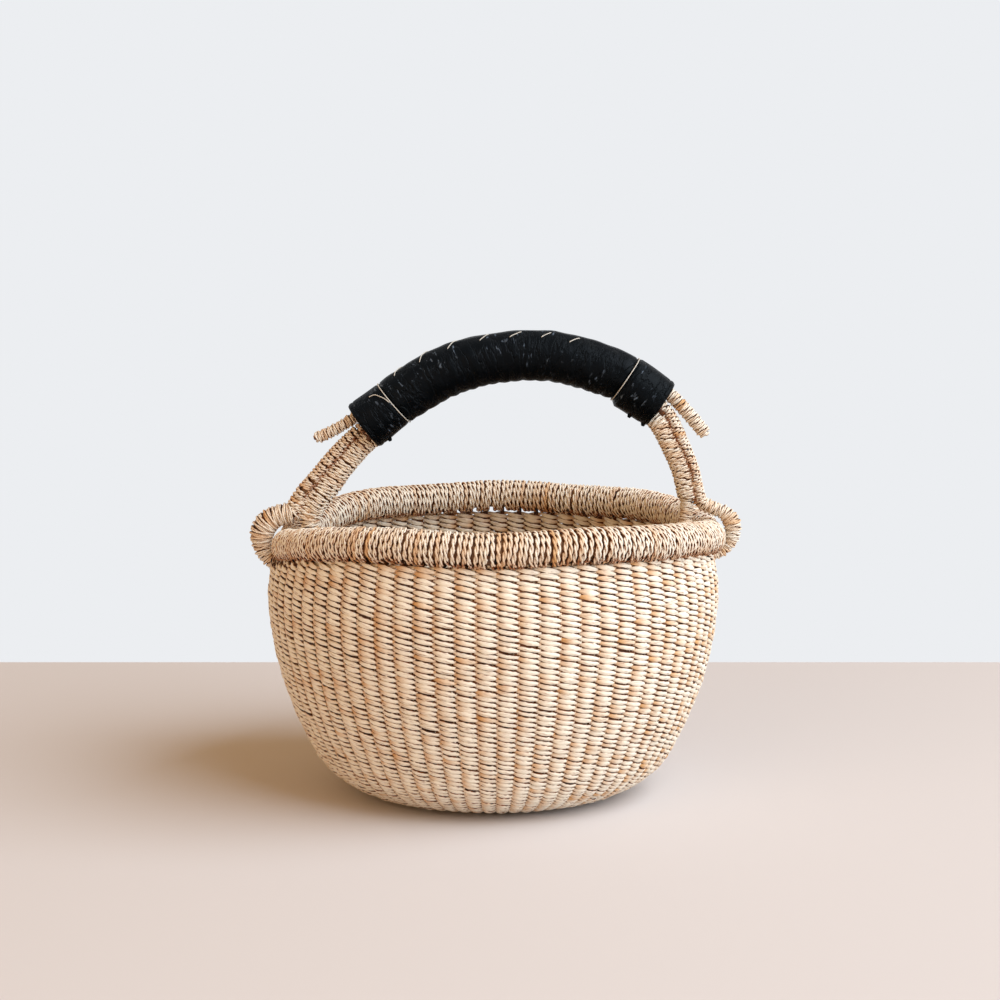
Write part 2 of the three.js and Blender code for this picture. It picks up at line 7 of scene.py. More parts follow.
# %% Load the frame
import math
import bpy
import numpy as np
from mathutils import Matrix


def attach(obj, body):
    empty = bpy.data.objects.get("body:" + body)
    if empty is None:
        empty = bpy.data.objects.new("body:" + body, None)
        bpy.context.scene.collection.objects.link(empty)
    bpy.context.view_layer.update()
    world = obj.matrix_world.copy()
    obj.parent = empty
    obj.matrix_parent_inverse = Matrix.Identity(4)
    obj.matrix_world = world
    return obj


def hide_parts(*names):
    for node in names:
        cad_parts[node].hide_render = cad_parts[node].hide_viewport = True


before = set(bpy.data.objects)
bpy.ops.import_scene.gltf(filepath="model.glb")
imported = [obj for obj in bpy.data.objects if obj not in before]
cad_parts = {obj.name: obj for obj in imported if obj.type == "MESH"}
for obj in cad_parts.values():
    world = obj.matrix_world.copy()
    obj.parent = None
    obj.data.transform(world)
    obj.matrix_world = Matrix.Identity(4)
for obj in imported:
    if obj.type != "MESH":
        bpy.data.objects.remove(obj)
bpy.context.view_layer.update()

# %% [markdown]
# The camera comes first, so that every later step can be compared with the photograph. It stands
# a little above the rim and looks slightly down through a 50 mm lens on a 24 mm square.

# %% Camera
MM = 0.001
scene = bpy.context.scene
camera_data = bpy.data.cameras.new("camera")
camera_data.lens = 50
camera_data.sensor_width = 24
camera = bpy.data.objects.new("camera", camera_data)
camera_place = np.array([3.0, -921.0, 236.0])
camera_down = math.radians(6.62)
camera.location = camera_place * MM
camera.rotation_euler = (math.pi / 2 - camera_down, 0, 0)
scene.collection.objects.link(camera)
scene.camera = camera
print("camera", camera_place, "mm,", round(math.degrees(camera_down), 2), "degrees down")

# %% [markdown]
# The bowl's main sizes, in millimetres, are those of the solids. The outline of the wall is
# carried round the axis, so a point of the bowl needs only its length along the outline, its
# angle and how deep it lies under the surface.

# %% Sizes of the bowl and the rim
BOWL_RADIUS = 100.8
BASE_RADIUS = 46.0
WALL_HEIGHT = 110.0
RIM_RADIUS = 94.0
RIM_HEIGHT = 120.0
RIM_SHIFT = 2.2
CORE_RADIUS = 6.2
RIM_OUTSIDE = 7.6
SLOT_OUT = 0.9
LEFT_DIP, LEFT_DIP_WIDTH = 10.3, math.radians(34)
RIGHT_DIP, RIGHT_DIP_WIDTH = 6.0, math.radians(30)
RIPPLE = 0.7
PRESSED, SWOLLEN = 0.95, 0.3
STAKE_COUNT = 72
STAKE_DEPTH = 3.2
WALL_SHARES = np.array([
    [0, 0], [0.31, 0.026], [0.56, 0.115], [0.745, 0.275],
    [0.895, 0.475], [0.985, 0.69], [1, 0.83], [0.95, 1],
])
RANDOM = np.random.default_rng(72)


def smooth_step(share):
    """0 below 0, 1 above 1, and 3x^2 - 2x^3 between."""
    held = np.clip(share, 0, 1)
    return held * held * (3 - 2 * held)


def unit(vectors):
    """The vectors at length one."""
    return vectors / np.maximum(np.linalg.norm(vectors, axis=-1, keepdims=True), 1e-12)


def square_to(vectors, along):
    """The part of the vectors square to a direction of length one, itself at length one."""
    return unit(vectors - along * np.sum(vectors * along, -1, keepdims=True))


def radial_at(angle):
    """The level direction outwards at an angle round the bowl."""
    return np.stack([np.cos(angle), np.sin(angle), 0 * angle], -1)


# %% Smooth paths
def smooth_path(places, per_span=16):
    """A cubic through the places, span by span. The slope at each place weighs the spans beside
    it by the square root of their lengths, so a short span next to a long one makes no loop."""
    places = np.asarray(places, float)
    ends = (2 * places[0] - places[1], 2 * places[-1] - places[-2])
    held = np.vstack([ends[0], places, ends[1]])
    gaps = np.sqrt(np.linalg.norm(np.diff(held, axis=0), axis=1))[:, None]
    before, here, after = held[:-2], held[1:-1], held[2:]
    slopes = (here - before) / gaps[:-1] - (after - before) / (gaps[:-1] + gaps[1:])
    slopes = slopes + (after - here) / gaps[1:]
    t = (np.arange(per_span) / per_span)[:, None, None]
    a, b = here[:-1], here[1:]
    start, end = slopes[:-1] * gaps[1:-1], slopes[1:] * gaps[1:-1]
    spans = a + start * t + (3 * (b - a) - 2 * start - end) * t**2
    spans = spans + (2 * (a - b) + start + end) * t**3
    return np.vstack([spans.transpose(1, 0, 2).reshape(-1, places.shape[1]), places[-1:]])


def lengths_along(path):
    """How far each point of a path lies from its start."""
    return np.concatenate([[0], np.cumsum(np.linalg.norm(np.diff(path, axis=0), axis=1))])


def at_length(path, lengths):
    """Points of a path at given lengths along it."""
    have = lengths_along(path)
    return np.stack([np.interp(lengths, have, path[:, i]) for i in range(path.shape[1])], -1)


# %% The bowl's outline
wall_places = WALL_SHARES * [BOWL_RADIUS - BASE_RADIUS, WALL_HEIGHT] + [BASE_RADIUS, 0]
base_steps = np.linspace(0, BASE_RADIUS, 24)[:-1]
outline = np.vstack([np.stack([base_steps, 0 * base_steps], 1), smooth_path(wall_places)])
outline_lengths = lengths_along(outline)
top_length = outline_lengths[-1]
OUTLINE_END = unit(outline[-1] - outline[-2])


def rim_dip(angle):
    """How far the rim is pulled down: a bell curve round each handle loop."""
    right = np.arctan2(np.sin(angle), np.cos(angle))
    left = np.arctan2(-np.sin(angle), -np.cos(angle))
    at_left = LEFT_DIP * np.exp(-((left / LEFT_DIP_WIDTH) ** 2))
    return RIGHT_DIP * np.exp(-((right / RIGHT_DIP_WIDTH) ** 2)) + at_left


def rim_radius(angle):
    """The hoop's radius. The handle loops draw it in a little at both ends."""
    return RIM_RADIUS - (0.7 - 0.2 * np.cos(angle)) * np.cos(angle) ** 4


def sleeve_press(angle):
    """Change of the rim's thickness: pressed in up to 10 mm from a handle loop's middle, and
    swollen 19 mm from it."""
    away = RIM_RADIUS * np.abs(angle - np.round(angle / np.pi) * np.pi)
    swollen = SWOLLEN * np.exp(-(((away - 19) / 4) ** 2))
    return swollen - PRESSED * (1 - smooth_step((away - 10) / 6))


def rim_centre_height(angle):
    """Height of the hoop's centre line: its level, less the dips, plus a slight ripple."""
    ripple = RIPPLE * np.sin(angle) ** 2 * np.cos(7 * angle + math.radians(106))
    return RIM_HEIGHT - rim_dip(angle) + ripple


def slot_radius(angle):
    """How far from the axis the stakes meet the hoop. The rim leans a little to the right."""
    return rim_radius(angle) + SLOT_OUT + RIM_SHIFT * np.cos(angle)


print("outline", round(top_length, 1), "mm from the middle of the base to the top of the wall")

# %% [markdown]
# Everything woven or wound is a set of equal tubes. One helper turns an array of rings into a
# mesh with its UV map and two attributes: `tone`, a random shade for each stitch, to which some
# pieces add painted shade, and `crease`, painted shade in the gaps between strands and where a
# strand tucks under another one. Setting whole arrays with foreach_set is far faster than adding
# vertices one by one.


# %% Faces of the tubes
def quads_of(grid, closed):
    """Quads between neighbouring rings of a (tube, ring, corner) grid of vertex numbers."""
    after = np.roll(grid, -1, 1)
    if not closed:
        grid, after = grid[:, :-1], after[:, :-1]
    corners = [grid, after, np.roll(after, -1, 2), np.roll(grid, -1, 2)]
    return np.stack(corners, -1).reshape(-1, 4)


def turned_inwards(rings, quads):
    """For each tube, whether its quads face its own middle line: the sum of their areas times
    their distance from that line is then below 0."""
    a, b, c, d = (rings.reshape(-1, 3)[quads[:, i]] for i in range(4))
    away = (rings - rings.mean(2, keepdims=True)).reshape(-1, 3)[quads].sum(1)
    facing = np.einsum("ij,ij->i", np.cross(c - a, d - b), away)
    return facing.reshape(len(rings), -1).sum(1) < 0


# %% Tubes to mesh
def tubes_to_mesh(name, rings, closed, lengths, attributes):
    """Rings are (tube, ring, corner, xyz) in millimetres, and lengths are (tube, ring)."""
    count, along, around, _ = rings.shape
    grid = np.arange(count * along * around).reshape(count, along, around)
    quads = quads_of(grid, closed)
    steps = along if closed else along - 1
    ahead = np.diff(lengths, axis=1, append=2 * lengths[:, -1:] - lengths[:, -2:-1])[:, :steps]
    u = lengths[:, :steps, None, None] + ahead[:, :, None, None] * [0, 1, 1, 0]
    v = (np.arange(around)[:, None] + [0, 0, 1, 1]) / around
    uv = np.stack(np.broadcast_arrays(u, v), -1).reshape(-1, 4, 2)
    inwards = turned_inwards(rings, quads)
    swapped = np.repeat(inwards, steps * around)[:, None]
    quads = np.where(swapped, quads[:, ::-1], quads)
    uv = np.where(swapped[..., None], uv[:, ::-1], uv)
    corners, uvs, starts = quads.reshape(-1), uv.reshape(-1, 2), np.arange(len(quads)) * 4
    if not closed:
        caps = np.stack([grid[:, 0], grid[:, -1, ::-1]], 1)
        caps = np.where(inwards[:, None, None], caps[:, :, ::-1], caps).reshape(-1)
        starts = np.concatenate([starts, len(corners) + np.arange(2 * count) * around])
        corners = np.concatenate([corners, caps])
        uvs = np.concatenate([uvs, np.zeros((len(caps), 2))])
    mesh = bpy.data.meshes.new(name)
    mesh.vertices.add(grid.size)
    mesh.vertices.foreach_set("co", (rings * MM).astype(np.float32).ravel())
    mesh.loops.add(len(corners))
    mesh.loops.foreach_set("vertex_index", corners.astype(np.int32))
    mesh.polygons.add(len(starts))
    mesh.polygons.foreach_set("loop_start", starts.astype(np.int32))
    mesh.update(calc_edges=True)
    mesh.polygons.foreach_set("use_smooth", np.ones(len(starts), bool))
    mesh.uv_layers.new(name="strand").data.foreach_set("uv", uvs.astype(np.float32).ravel())
    for key, values in attributes.items():
        layer = mesh.attributes.new(key, "FLOAT", "POINT")
        spread = np.broadcast_to(values, (count, along, around)).reshape(-1)
        layer.data.foreach_set("value", spread.astype(np.float32))
    mesh.validate()
    return mesh


# %% Pieces made of tubes
def tube_piece(name, kind, rings, closed, lengths, *nodes, **attributes):
    """Puts tubes into the scene as a piece that stands for CAD nodes. Its kind says which body
    it rides on and its material; the slot it also names is not used here."""
    body, slot, material = kind
    mesh = tubes_to_mesh(name, rings, closed, lengths, attributes)
    mesh.materials.append(material)
    piece = bpy.data.objects.new(name, mesh)
    scene.collection.objects.link(piece)
    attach(piece, body)
    if nodes:
        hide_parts(*nodes)
    print(name, len(mesh.polygons), "faces")


def ring_corners(centre, outward, across, half_out, half_across, around):
    """Ellipses round a centre line: corner i lies at angle 2 pi (i + 1/2) / around from outward,
    so that with six corners one lies on each side edge."""
    turn = (np.arange(around) + 0.5) * 2 * np.pi / around
    out = np.asarray(half_out)[..., None, None] * np.cos(turn)[:, None] * outward[..., None, :]
    side = np.asarray(half_across)[..., None, None] * np.sin(turn)[:, None] * across[..., None, :]
    return centre[..., None, :] + out + side


# %% [markdown]
# Grass is one finish in several shades, one of them a dark copy that paints shade on parts seen
# only in the gaps, so its fibres, painted crease shade and colour drift live in one node group.
# It reads the strand's own UV map, where u runs along the strand in millimetres, and puts out a
# colour, a roughness and a height. The Principled shader stays in each material.


# %% Colours and single nodes
def shade(red, green, blue):
    """A colour written as screen values from 0 to 255, as the linear colour that nodes use."""
    screen = np.array([red, green, blue]) / 255
    linear = np.where(screen <= 0.04045, screen / 12.92, ((screen + 0.055) / 1.055) ** 2.4)
    return (*linear.tolist(), 1.0)


def feed(tree, node, values):
    """Gives inputs of a node their values, each a socket to link or a plain value."""
    for key, value in values.items():
        if isinstance(value, bpy.types.NodeSocket):
            tree.links.new(value, node.inputs[key])
        else:
            node.inputs[key].default_value = value


def add_node(tree, kind, **values):
    """A new node with some of its settings and inputs."""
    node = tree.nodes.new(kind)
    for key, value in values.items():
        if key in node.inputs:
            feed(tree, node, {key: value})
        else:
            setattr(node, key, value)
    return node


# %% Small sums of nodes
def mix_colours(tree, share, first, second):
    """A Mix node on colours: its share and both colours are the inputs 0, 6 and 7."""
    node = add_node(tree, "ShaderNodeMix", data_type="RGBA")
    feed(tree, node, {0: share, 6: first, 7: second})
    return node.outputs[2]


def maths(tree, operation, *values):
    """A Math node on sockets or numbers. MULTIPLY_ADD is the first times the second plus the
    third."""
    node = add_node(tree, "ShaderNodeMath", operation=operation)
    feed(tree, node, dict(enumerate(values)))
    return node.outputs[0]


def ramp(tree, value, low, high):
    """Stretches the values between low and high to 0 and 1, with smooth ends."""
    node = add_node(tree, "ShaderNodeMapRange", interpolation_type="SMOOTHSTEP", Value=value)
    feed(tree, node, {"From Min": low, "From Max": high})
    return node.outputs["Result"]


# %% Materials and their maps
def stretched_noise(tree, vector, scale, across, detail=3.0):
    """Noise on the strand's UV map, drawn out along u."""
    mapping = add_node(tree, "ShaderNodeMapping", Scale=(scale, across, 1), Vector=vector)
    drawn = mapping.outputs["Vector"]
    noise = add_node(tree, "ShaderNodeTexNoise", Scale=1.0, Detail=detail, Vector=drawn)
    return noise.outputs["Fac"]


def strand_map(tree):
    """The UV map of a tube: u runs along it in millimetres, v once round it."""
    return add_node(tree, "ShaderNodeUVMap", uv_map="strand").outputs["UV"]


def object_place(tree):
    """The place on the object, in metres."""
    return tree.nodes.new("ShaderNodeTexCoord").outputs["Object"]


def new_material(name):
    """A material with nodes, its tree and its shader."""
    material = bpy.data.materials.new(name)
    material.use_nodes = True
    return material, material.node_tree, material.node_tree.nodes["Principled BSDF"]


# %% The grass group
def grass_group():
    """Colour: two straws mixed by tone, fibre streaks, and painted shade from the crease."""
    tree = bpy.data.node_groups.new("twisted_grass", "ShaderNodeTree")
    for way, kind, names in (
        ("INPUT", "Color", ("Pale", "Straw", "Crease Colour", "Gap Colour")),
        ("INPUT", "Float", ("Tone", "Crease")),
        ("OUTPUT", "Color", ("Colour",)),
        ("OUTPUT", "Float", ("Roughness", "Height")),
    ):
        for name in names:
            tree.interface.new_socket(name, in_out=way, socket_type=f"NodeSocket{kind}")
    given = tree.nodes.new("NodeGroupInput").outputs
    result = tree.nodes.new("NodeGroupOutput")
    strand = strand_map(tree)
    fibres = stretched_noise(tree, strand, 0.35, 14.0)
    threads = stretched_noise(tree, strand, 0.12, 34.0, 1.0)
    beads = stretched_noise(tree, strand, 0.9, 1.5, 0.0)
    blotch = add_node(
        tree, "ShaderNodeTexNoise", Scale=90.0, Detail=2.0, Vector=object_place(tree)
    )
    tone = maths(tree, "MULTIPLY_ADD", blotch.outputs["Fac"], 0.5, given["Tone"])
    tone = maths(tree, "SUBTRACT", tone, 0.25)
    colour = mix_colours(tree, ramp(tree, tone, 0.05, 0.95), given["Pale"], given["Straw"])
    streak = maths(tree, "MULTIPLY", ramp(tree, fibres, 0.5, 0.72), 0.42)
    colour = mix_colours(tree, streak, colour, given["Crease Colour"])
    # Painted shade: the crease, broken by beads and fibres, turns brown, then gap black.
    deep = maths(tree, "MULTIPLY_ADD", beads, 3.0, -0.5)
    fray = maths(tree, "SUBTRACT", fibres, 0.5)
    shade_and_fray = maths(tree, "MULTIPLY_ADD", given["Crease"], deep, fray)
    colour = mix_colours(tree, ramp(tree, shade_and_fray, 0.22, 0.7), colour, given["Crease Colour"])
    colour = mix_colours(tree, ramp(tree, shade_and_fray, 0.92, 1.15), colour, given["Gap Colour"])
    height = maths(tree, "MULTIPLY_ADD", fibres, 0.7, threads)
    rough = maths(tree, "MULTIPLY_ADD", fibres, 0.3, 0.4)
    feed(tree, result, {"Colour": colour, "Roughness": rough, "Height": height})
    return tree


GRASS = grass_group()


# %% A material for each shade of grass
def grass_material(name, pale, straw, crease, gap):
    """One shade of twisted grass."""
    material, tree, shader = new_material(name)
    group = add_node(tree, "ShaderNodeGroup", node_tree=GRASS)
    colours = {"Pale": pale, "Straw": straw, "Crease Colour": crease, "Gap Colour": gap}
    feed(tree, group, {key: shade(*value) for key, value in colours.items()})
    for key in ("tone", "crease"):
        layer = add_node(tree, "ShaderNodeAttribute", attribute_name=key)
        feed(tree, group, {key.title(): layer.outputs["Fac"]})
    height = group.outputs["Height"]
    bumps = add_node(tree, "ShaderNodeBump", Strength=0.5, Distance=0.0004, Height=height)
    feed(tree, shader, {
        "Specular IOR Level": 0.4,
        "Base Color": group.outputs["Colour"],
        "Roughness": group.outputs["Roughness"],
        "Normal": bumps.outputs["Normal"],
    })
    return material


# %% Shades of grass
weft_grass = grass_material(
    "weft_grass", (245, 236, 218), (213, 158, 94), (134, 74, 32), (5, 3, 2)
)
wound_grass = grass_material(
    "wound_grass", (249, 240, 222), (217, 166, 104), (150, 86, 38), (10, 5, 3)
)
# Painted shade: stakes and the handle's bundle show only in gaps, so their grass is dark brown.
stake_grass_in_shade = grass_material(
    "stake_grass_in_shade", (116, 68, 34), (76, 43, 20), (44, 26, 12), (14, 8, 4)
)
base_grass = grass_material(
    "base_grass", (196, 158, 116), (160, 118, 78), (104, 66, 38), (20, 12, 7)
)
WEFT = ("basket", "grass", weft_grass)
BASKET_CORD = ("basket", "winding_grass", wound_grass)
HANDLE_CORD = ("handle", "winding_grass", wound_grass)
BASKET_STAKES = ("basket", "inner_grass", stake_grass_in_shade)
BASKET_INSIDE = ("basket", "inner_grass", base_grass)
HANDLE_CORE = ("handle", "inner_grass", stake_grass_in_shade)
HANDLE_INSIDE = ("handle", "inner_grass", base_grass)
print("grass materials:", weft_grass.name, wound_grass.name, stake_grass_in_shade.name, base_grass.name)

# %% [markdown]
# The wall is twined: each row is a pair of strands that turn round each other half a turn at
# every stake, one outside while the other is inside. Both faces of the weave come from the same
# pair, so a strand is one long tube. Its depth follows two parabolas in each stitch and its
# height falls in a straight line outside and climbs inside. The stitches start a little late, so
# that each one comes out from behind its neighbour's tip.

# %% The loops that pass through the wall
LOOPS = {
    "left": {"angle": math.pi, "height": 99.0, "radius": 3.9},
    "right": {"angle": 0.0, "height": 104.2, "radius": 3.1},
}


def part_round_loops(angle, radius, height):
    """Moves strands up and down out of the way of the handle loops, most at the loop itself."""
    moved = height
    for loop in LOOPS.values():
        along = radius * np.arctan2(np.sin(angle - loop["angle"]), np.cos(angle - loop["angle"]))
        above = height - loop["height"]
        reach = (loop["radius"] + 1.2) * np.exp(-((along / 6.0) ** 2))
        moved = moved + np.sign(above) * reach * np.clip(1 - np.abs(above) / 11, 0, 1)
    return moved


# %% Places in the wall
ROW_PITCH = 2.36
TOP_LIFT = 0.95
WALL_IN = -0.75
LIFT_REACH = 40
LEAN_FROM, LEAN_OVER = 9.6, 5.0


def outline_at(length):
    """The outline's radius and height at a length. Past its top it goes on straight."""
    over = np.maximum(length - top_length, 0)[..., None] * OUTLINE_END
    held = [np.interp(length, outline_lengths, outline[:, i]) for i in range(2)]
    return np.stack(held, -1) + over


def bowl_point(length, angle, depth):
    """A point on the outline at a length, moved in by a depth and turned to an angle. The rows
    within LIFT_REACH of the top are lifted, more at the front than at the back and in slow
    waves. Just under the rim they lean in to the hoop's slot."""
    below = top_length - length
    lift = TOP_LIFT - 0.3 * np.sin(angle) + 0.3 * np.sin(9 * angle) * np.sin(4 * angle + 1)
    length = length + lift * (1 - smooth_step(below / LIFT_REACH))
    ahead = unit(outline_at(length + 0.5) - outline_at(length - 0.5))
    place = outline_at(length)
    depth = depth + WALL_IN
    radius = place[..., 0] - depth * ahead[..., 1]
    height = place[..., 1] + depth * ahead[..., 0]
    lean = smooth_step((height - (rim_centre_height(angle) - LEAN_FROM)) / LEAN_OVER)
    slot = slot_radius(angle) + (STAKE_DEPTH - depth) * 0.9
    radius = radius + (slot - radius) * lean
    height = part_round_loops(angle, radius, height)
    return np.stack([radius * np.cos(angle), radius * np.sin(angle), height], -1)


print("rows every", ROW_PITCH, "mm, their middle", STAKE_DEPTH + WALL_IN, "mm under the outline")


# %% Twined rows
SAMPLES = 10
CORNERS = 6
LATE = 0.62
TURN_OVER = 0.86
DEPTH_SWING = 1.2
CREST = 0.45
COMING, LEAVING = 0.3, 0.65
TIP_ACROSS, TIP_OUT = 0.56, 0.38
SWELL_ACROSS, SWELL_OUT = 0.7, 0.18
LEAF_OUT = np.array([1, 0, -1, -1, 0, 1])
LEAF_SIDE = np.array([0.7, 1, 0.7, -0.7, -1, -0.7])


def slow_waves(column, rows, columns, seed, count=5):
    """Sums of slow sines round the bowl, another one for each row: about -1 to 1."""
    random = np.random.default_rng(seed)
    waves = random.integers(1, 9, size=(count, rows, 2, 1))
    starts = random.random((count, rows, 2, 1)) * 2 * np.pi
    return np.sin(2 * np.pi * waves * column / columns + starts).sum(0) / math.sqrt(count)


def twined_rows(lengths, columns):
    """Rings of both strands of each row, with their tone and crease.
    Each strand changes sides once per column, so its share runs from 0 to 1 along every stitch.
    Outside, the stitch comes out from behind its neighbour's tip, swells to a crest and keeps
    its own tip in front. Inside, it sinks to the inner face and comes back (two parabolas each).
    Its height falls with the share outside and climbs inside, so the narrow ends of neighbours
    interlock. It is widest in the middle and narrows in straight lines to both ends.
    The crease, painted shade in the gaps between rows, follows both side edges, deeper where
    the random push is high, and at the start, where the stitch comes from under its neighbour.
    The tone paints shade too: darkest at the start, it falls until three quarters of the way."""
    rows = len(lengths)
    even = np.arange(columns * SAMPLES) / SAMPLES
    column = even - 0.3 * np.sin(2 * np.pi * (even - LATE / np.pi)) / (2 * np.pi)
    number = np.floor(column - LATE / np.pi + 1e-6).astype(int) % columns
    angle = column * 2 * np.pi / columns
    strand = np.arange(2)[None, :, None]
    shape = (rows, 2, len(column))
    stitch = np.broadcast_to(column - LATE / np.pi - strand + 1e-6, shape)
    share = stitch % 1
    side = 1.0 - 2.0 * (np.floor(stitch).astype(int) % 2)
    first = np.where(side > 0, 1 - COMING, 1 + LEAVING) * (1 - share / CREST) ** 2
    last = np.where(side > 0, 1 - LEAVING, 1 + COMING) * ((share - CREST) / (1 - CREST)) ** 2
    face = side * (1 - np.where(share < CREST, first, last))
    leaf = np.sin(np.pi * share)
    random = RANDOM.normal(size=(5, rows, 2, columns))
    thick, shift, push, tone, swell = (r[:, :, number] for r in random)
    slow = slow_waves(column, rows, columns, 7)
    offset = TURN_OVER * side * (1 - 2 * share) + leaf * 0.1 * shift + 0.16 * slow
    depth = STAKE_DEPTH - DEPTH_SWING * face - leaf * side * 0.12 * push
    start = lengths[:, None, None] + offset
    turned = np.broadcast_to(angle, shape)
    place = bowl_point(start, turned, depth)
    under = bowl_point(start, turned, depth + 0.5)
    tangent = unit(np.roll(place, -1, 2) - np.roll(place, 1, 2))
    normal = square_to(place - under, tangent)
    across = np.cross(normal, tangent)
    full = np.clip(np.minimum(share / 0.36, (1 - share) / 0.4) + 0.1, 0, 1)
    half_across = (TIP_ACROSS + SWELL_ACROSS * full) * (1 + 0.12 * thick * leaf)
    half_out = (TIP_OUT + SWELL_OUT * full) * (1 + 0.07 * swell * leaf)
    out = (half_out[..., None] * LEAF_OUT)[..., None] * normal[..., None, :]
    over = (half_across[..., None] * LEAF_SIDE)[..., None] * across[..., None, :]
    rings = place[..., None, :] + out + over
    # Painted shade: the crease darkens the side edges, in dashes, and at each stitch's start.
    edge = np.where(LEAF_OUT == 0, 1.0, 0.08)
    dash = smooth_step(0.4 + 0.6 * push + 0.3 * slow) * (1 - smooth_step((share - 0.6) / 0.4))
    tucked = np.exp(-((share / 0.1) ** 2))
    pointed = (0.45 + 0.55 * full)[..., None]
    crease = edge * (0.86 + 1.0 * dash[..., None]) * pointed + 0.2 * tucked[..., None]
    # Random tone, plus painted shade that darkens the start of each stitch.
    shades = 0.06 + 0.12 * tone + 0.1 * slow + 0.42 * (1 - smooth_step(share / 0.75))
    along = np.broadcast_to(angle * 60, shape) + 37.0 * RANDOM.random((rows, 2, 1))
    tubes = rows * 2
    return (
        rings.reshape(tubes, len(column), CORNERS, 3),
        along.reshape(tubes, -1),
        np.clip(shades, 0, 1).reshape(tubes, -1, 1),
        np.clip(crease, 0, 1.6).reshape(tubes, -1, CORNERS),
    )


# %% Weave the wall and the base
def weave(name, lengths, columns, *nodes):
    """One band of twined rows as a piece."""
    rings, along, tone, crease = twined_rows(lengths, columns)
    tube_piece(name, WEFT, rings, True, along, *nodes, tone=tone, crease=crease)


wall_rows = np.arange(top_length + 0.35, BASE_RADIUS + ROW_PITCH / 2, -ROW_PITCH)[::-1]
for index, band in enumerate(np.array_split(wall_rows, 6)):
    nodes = ("weft_outer", "weft_inner") if index == 0 else ()
    weave(f"wall_rows_{index + 1}", band, STAKE_COUNT, *nodes)
base_rows = np.arange(wall_rows[0] - ROW_PITCH, 20, -ROW_PITCH)
weave("base_rows_outer", base_rows, STAKE_COUNT // 2)
middle_rows = np.arange(base_rows[-1] - ROW_PITCH, 2.4, -ROW_PITCH)
weave("base_rows_middle", middle_rows, STAKE_COUNT // 4)
print(len(wall_rows), "rows in the wall,", len(base_rows) + len(middle_rows), "in the base")

# %% [markdown]
# The stakes are flat bundles between the two faces of the weave. They show only in the open row
# under the rim, so a plain elliptical tube up the wall is enough. In the base they run inwards
# as fewer, wider bars that narrow towards the middle and meet there.


# %% Stakes of the wall
STAKE_STEPS = 40


def wall_stakes():
    """Tubes up the outline from the base to the hoop, about halfway between the two faces."""
    angle = (np.arange(STAKE_COUNT) + 0.5) * 2 * np.pi / STAKE_COUNT
    nearest = np.round(angle / np.pi) * np.pi
    away = angle - nearest
    step = 2 * np.pi / STAKE_COUNT
    push = np.radians(2.9) * np.exp(-(((np.abs(away) - step / 2) / step) ** 2))
    angle = angle + np.sign(away) * push
    length = np.linspace(BASE_RADIUS - 2, top_length, STAKE_STEPS)
    shape = (STAKE_COUNT, STAKE_STEPS)
    turned = np.broadcast_to(angle[:, None], shape)
    place = bowl_point(np.broadcast_to(length, shape), turned, STAKE_DEPTH - 0.35)
    radial = radial_at(angle)
    top = radial * slot_radius(angle)[:, None]
    top[:, 2] = rim_centre_height(angle) - CORE_RADIUS + 0.4
    place = np.concatenate([place, top[:, None]], 1)
    place[:, -2] = (place[:, -3] + place[:, -1]) / 2
    tangent = unit(np.gradient(place, axis=1))
    across = np.broadcast_to(np.cross([0, 0, 1.0], radial)[:, None], place.shape)
    outward = np.cross(across, tangent)
    below = np.append(top_length - length, 0)
    beside = np.hypot(place[..., 0], place[..., 1]) * np.pi / STAKE_COUNT
    beside_loop = (np.abs(away) < step)[:, None]
    share = smooth_step((below - 1.5 - 3.5 * beside_loop) / 2.5)
    narrow = 1.2 - 0.5 * beside_loop
    width = narrow + (beside - narrow) * share + 0.1 * RANDOM.normal(size=(STAKE_COUNT, 1))
    rings = ring_corners(place, outward, across, 0.55 - 0.25 * share + 0 * width, width, 8)
    lengths = np.broadcast_to(np.arange(place.shape[1]) * 3.4, place.shape[:2])
    tone = RANDOM.random((STAKE_COUNT, 1, 1))
    return rings, lengths, tone


rings, lengths, tone = wall_stakes()
# The wall's stakes take the dark grass of painted shade.
tube_piece("stakes_wall", BASKET_STAKES, rings, False, lengths, "stakes", tone=tone, crease=0.1)


# %% Stakes of the base
def base_stakes():
    """Straight bars from near the middle of the base to the foot of the wall."""
    count = STAKE_COUNT // 2
    angle = (np.arange(count) + 0.5) * 2 * np.pi / count
    reach = np.linspace(0.4, BASE_RADIUS + 1, 14)
    radial = radial_at(angle)[:, None]
    place = radial * reach[:, None] + [0, 0, STAKE_DEPTH + WALL_IN]
    across = np.broadcast_to(np.cross(radial, [0, 0, 1.0]), place.shape)
    outward = np.broadcast_to([0, 0, 1.0], place.shape)
    width = 0.72 * reach * np.pi / count + 0 * place[..., 0]
    rings = ring_corners(place, outward, across, np.full(place.shape[:2], 0.5), width, 8)
    return rings, np.broadcast_to(reach, place.shape[:2]), RANDOM.random((count, 1, 1))


rings, lengths, tone = base_stakes()
tube_piece("stakes_base", BASKET_INSIDE, rings, False, lengths, tone=tone, crease=0.1)

# %% [markdown]
# The rim is a hoop of bundled grass, wound with a cord of two plies. Under the rim the turns
# draw together in the gaps between the stakes, which leaves small openings where light comes
# through. Each turn is a closed ring of two thin tubes that turn round each other, and no two
# lean alike.


